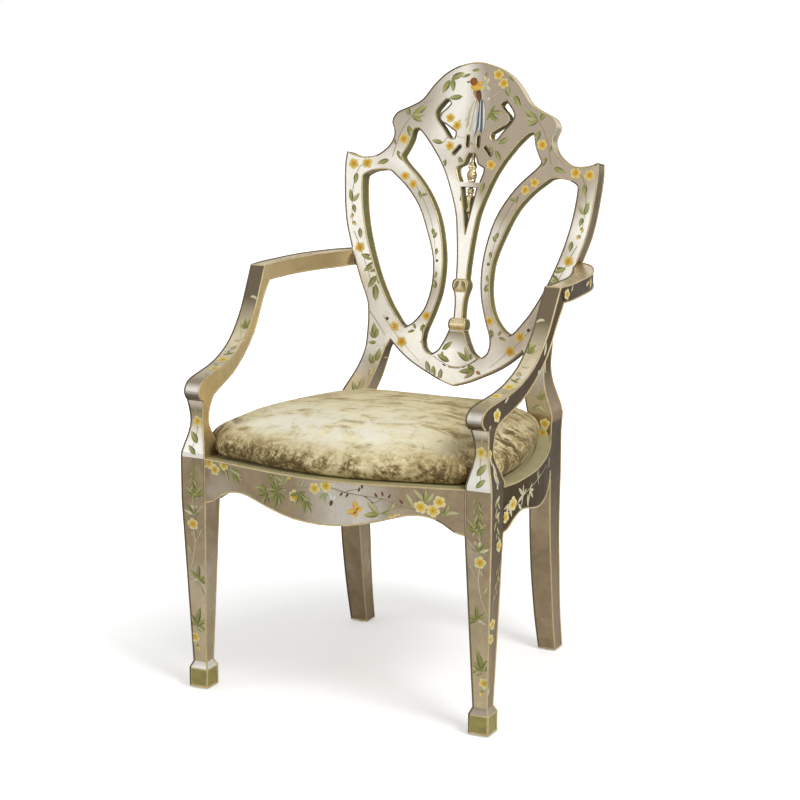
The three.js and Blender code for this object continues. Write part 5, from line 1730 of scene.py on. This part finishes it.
class CHAIR_OT_cushion(bpy.types.Operator):
    """Fills the velvet cushion"""

    bl_idname = "chair.cushion"
    bl_label = "Cushion"

    def execute(self, context):
        settings = context.scene.chair_cushion
        cushion = merged_copy("seat_cushion")
        cushion.name = "velvet_cushion"
        grid = cushion.modifiers.new("grid", "REMESH")
        grid.mode = "VOXEL"
        grid.voxel_size = settings.voxel
        apply_modifier(cushion, grid)
        self.settle(cushion, settings)
        self.fill(context, cushion, settings)
        rounding = cushion.modifiers.new("rounding", "SUBSURF")
        rounding.levels = 1
        apply_modifier(cushion, rounding)
        cushion.data.materials.clear()
        cushion.data.materials.append(material_named("velvet_pile"))
        pick(cushion)
        bpy.ops.object.shade_smooth()
        place(cushion, "crushed_velvet", "seat_cushion")
        return {"FINISHED"}

    def settle(self, cushion, settings):
        """Presses the crown down towards the back and spreads the lower edge over the ledge."""
        low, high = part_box("seat_cushion")
        half, middle = (high - low) / 2, (high + low) / 2
        rest = surface_tree(name for name in PAINTED_NODES if "rail" not in name)
        for vertex in cushion.data.vertices:
            spot = vertex.co
            rise = (spot.z - low.z) / (high.z - low.z)
            back = min(max((spot.y - low.y) / (2 * half.y), 0.0), 1.0)
            outward = Vector(((spot.x - middle.x) / half.x ** 2, (spot.y - middle.y) / half.y ** 2, 0.0))
            reach = ((spot.x - middle.x) / half.x) ** 2 + ((spot.y - middle.y) / half.y) ** 2
            lip = settings.spread * min(reach, 1.0) ** 3 * math.exp(-((rise - LIP_HEIGHT) / LIP_SPAN) ** 2)
            outward.normalize()
            hit, _, _, distance = rest.ray_cast(spot, outward, settings.spread + 1 * MM)
            if hit is not None:
                lip = min(lip, max(distance - LEG_CLEARANCE, 0.0))
            spot += outward * lip
            spot.z -= settings.crown_drop * max(rise, 0.0) ** 2 * (0.4 + 0.6 * back)

    def fill(self, context, cushion, settings):
        """Blows the cloth up a little, tacked down round its lower edge."""
        start = [vertex.co.copy() for vertex in cushion.data.vertices]
        low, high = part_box("seat_cushion")
        line = low.z + TACK_LINE * (high.z - low.z)
        tacked = cushion.vertex_groups.new(name="tacked")
        tacked.add([i for i, spot in enumerate(start) if spot.z < line], 1.0, "REPLACE")
        cloth = cushion.modifiers.new("filling", "CLOTH")
        cloth.settings.vertex_group_mass = "tacked"
        cloth.settings.use_pressure = True
        cloth.settings.uniform_pressure_force = settings.pressure
        cloth.settings.effector_weights.gravity = 0.0
        cloth.point_cache.frame_start = 1
        cloth.point_cache.frame_end = settings.frames
        for step in range(1, settings.frames + 1):
            context.scene.frame_set(step)
        apply_modifier(cushion, cloth)
        context.scene.frame_set(1)
        for vertex, spot in zip(cushion.data.vertices, start):
            move = vertex.co - spot
            if move.length > settings.swell:
                move *= settings.swell / move.length
            vertex.co = spot + move


class CHAIR_PT_panel(bpy.types.Panel):
    """Lists the steps that finish the chair"""

    bl_idname = "CHAIR_PT_panel"
    bl_label = "Shield Back Armchair"
    bl_space_type = "VIEW_3D"
    bl_region_type = "UI"
    bl_category = "Chair"

    def draw(self, context):
        scene = context.scene
        for settings in (scene.chair_finish, scene.chair_cushion, scene.chair_studio):
            for name in settings.__annotations__:
                self.layout.prop(settings, name)
        for step in STEPS:
            self.layout.operator(step.bl_idname)


STEPS = (
    CHAIR_OT_stage,
    CHAIR_OT_legs,
    CHAIR_OT_seat_frame,
    CHAIR_OT_arms,
    CHAIR_OT_shield,
    CHAIR_OT_leg_sprays,
    CHAIR_OT_rail_sprays,
    CHAIR_OT_arm_sprays,
    CHAIR_OT_shield_sprays,
    CHAIR_OT_cushion,
)
CLASSES = (ChairFinish, ChairCushion, ChairStudio, *STEPS, CHAIR_PT_panel)


def register():
    for each in CLASSES:
        bpy.utils.register_class(each)
    bpy.types.Scene.chair_finish = bpy.props.PointerProperty(type=ChairFinish)
    bpy.types.Scene.chair_cushion = bpy.props.PointerProperty(type=ChairCushion)
    bpy.types.Scene.chair_studio = bpy.props.PointerProperty(type=ChairStudio)


def unregister():
    del bpy.types.Scene.chair_studio
    del bpy.types.Scene.chair_cushion
    del bpy.types.Scene.chair_finish
    for each in reversed(CLASSES):
        bpy.utils.unregister_class(each)


def main():
    register()
    bpy.ops.chair.stage()
    bpy.ops.chair.legs()
    bpy.ops.chair.seat_frame()
    bpy.ops.chair.arms()
    bpy.ops.chair.shield()
    bpy.ops.chair.leg_sprays()
    bpy.ops.chair.rail_sprays()
    bpy.ops.chair.arm_sprays()
    bpy.ops.chair.shield_sprays()
    bpy.ops.chair.cushion()


if __name__ == "__main__":
    main()
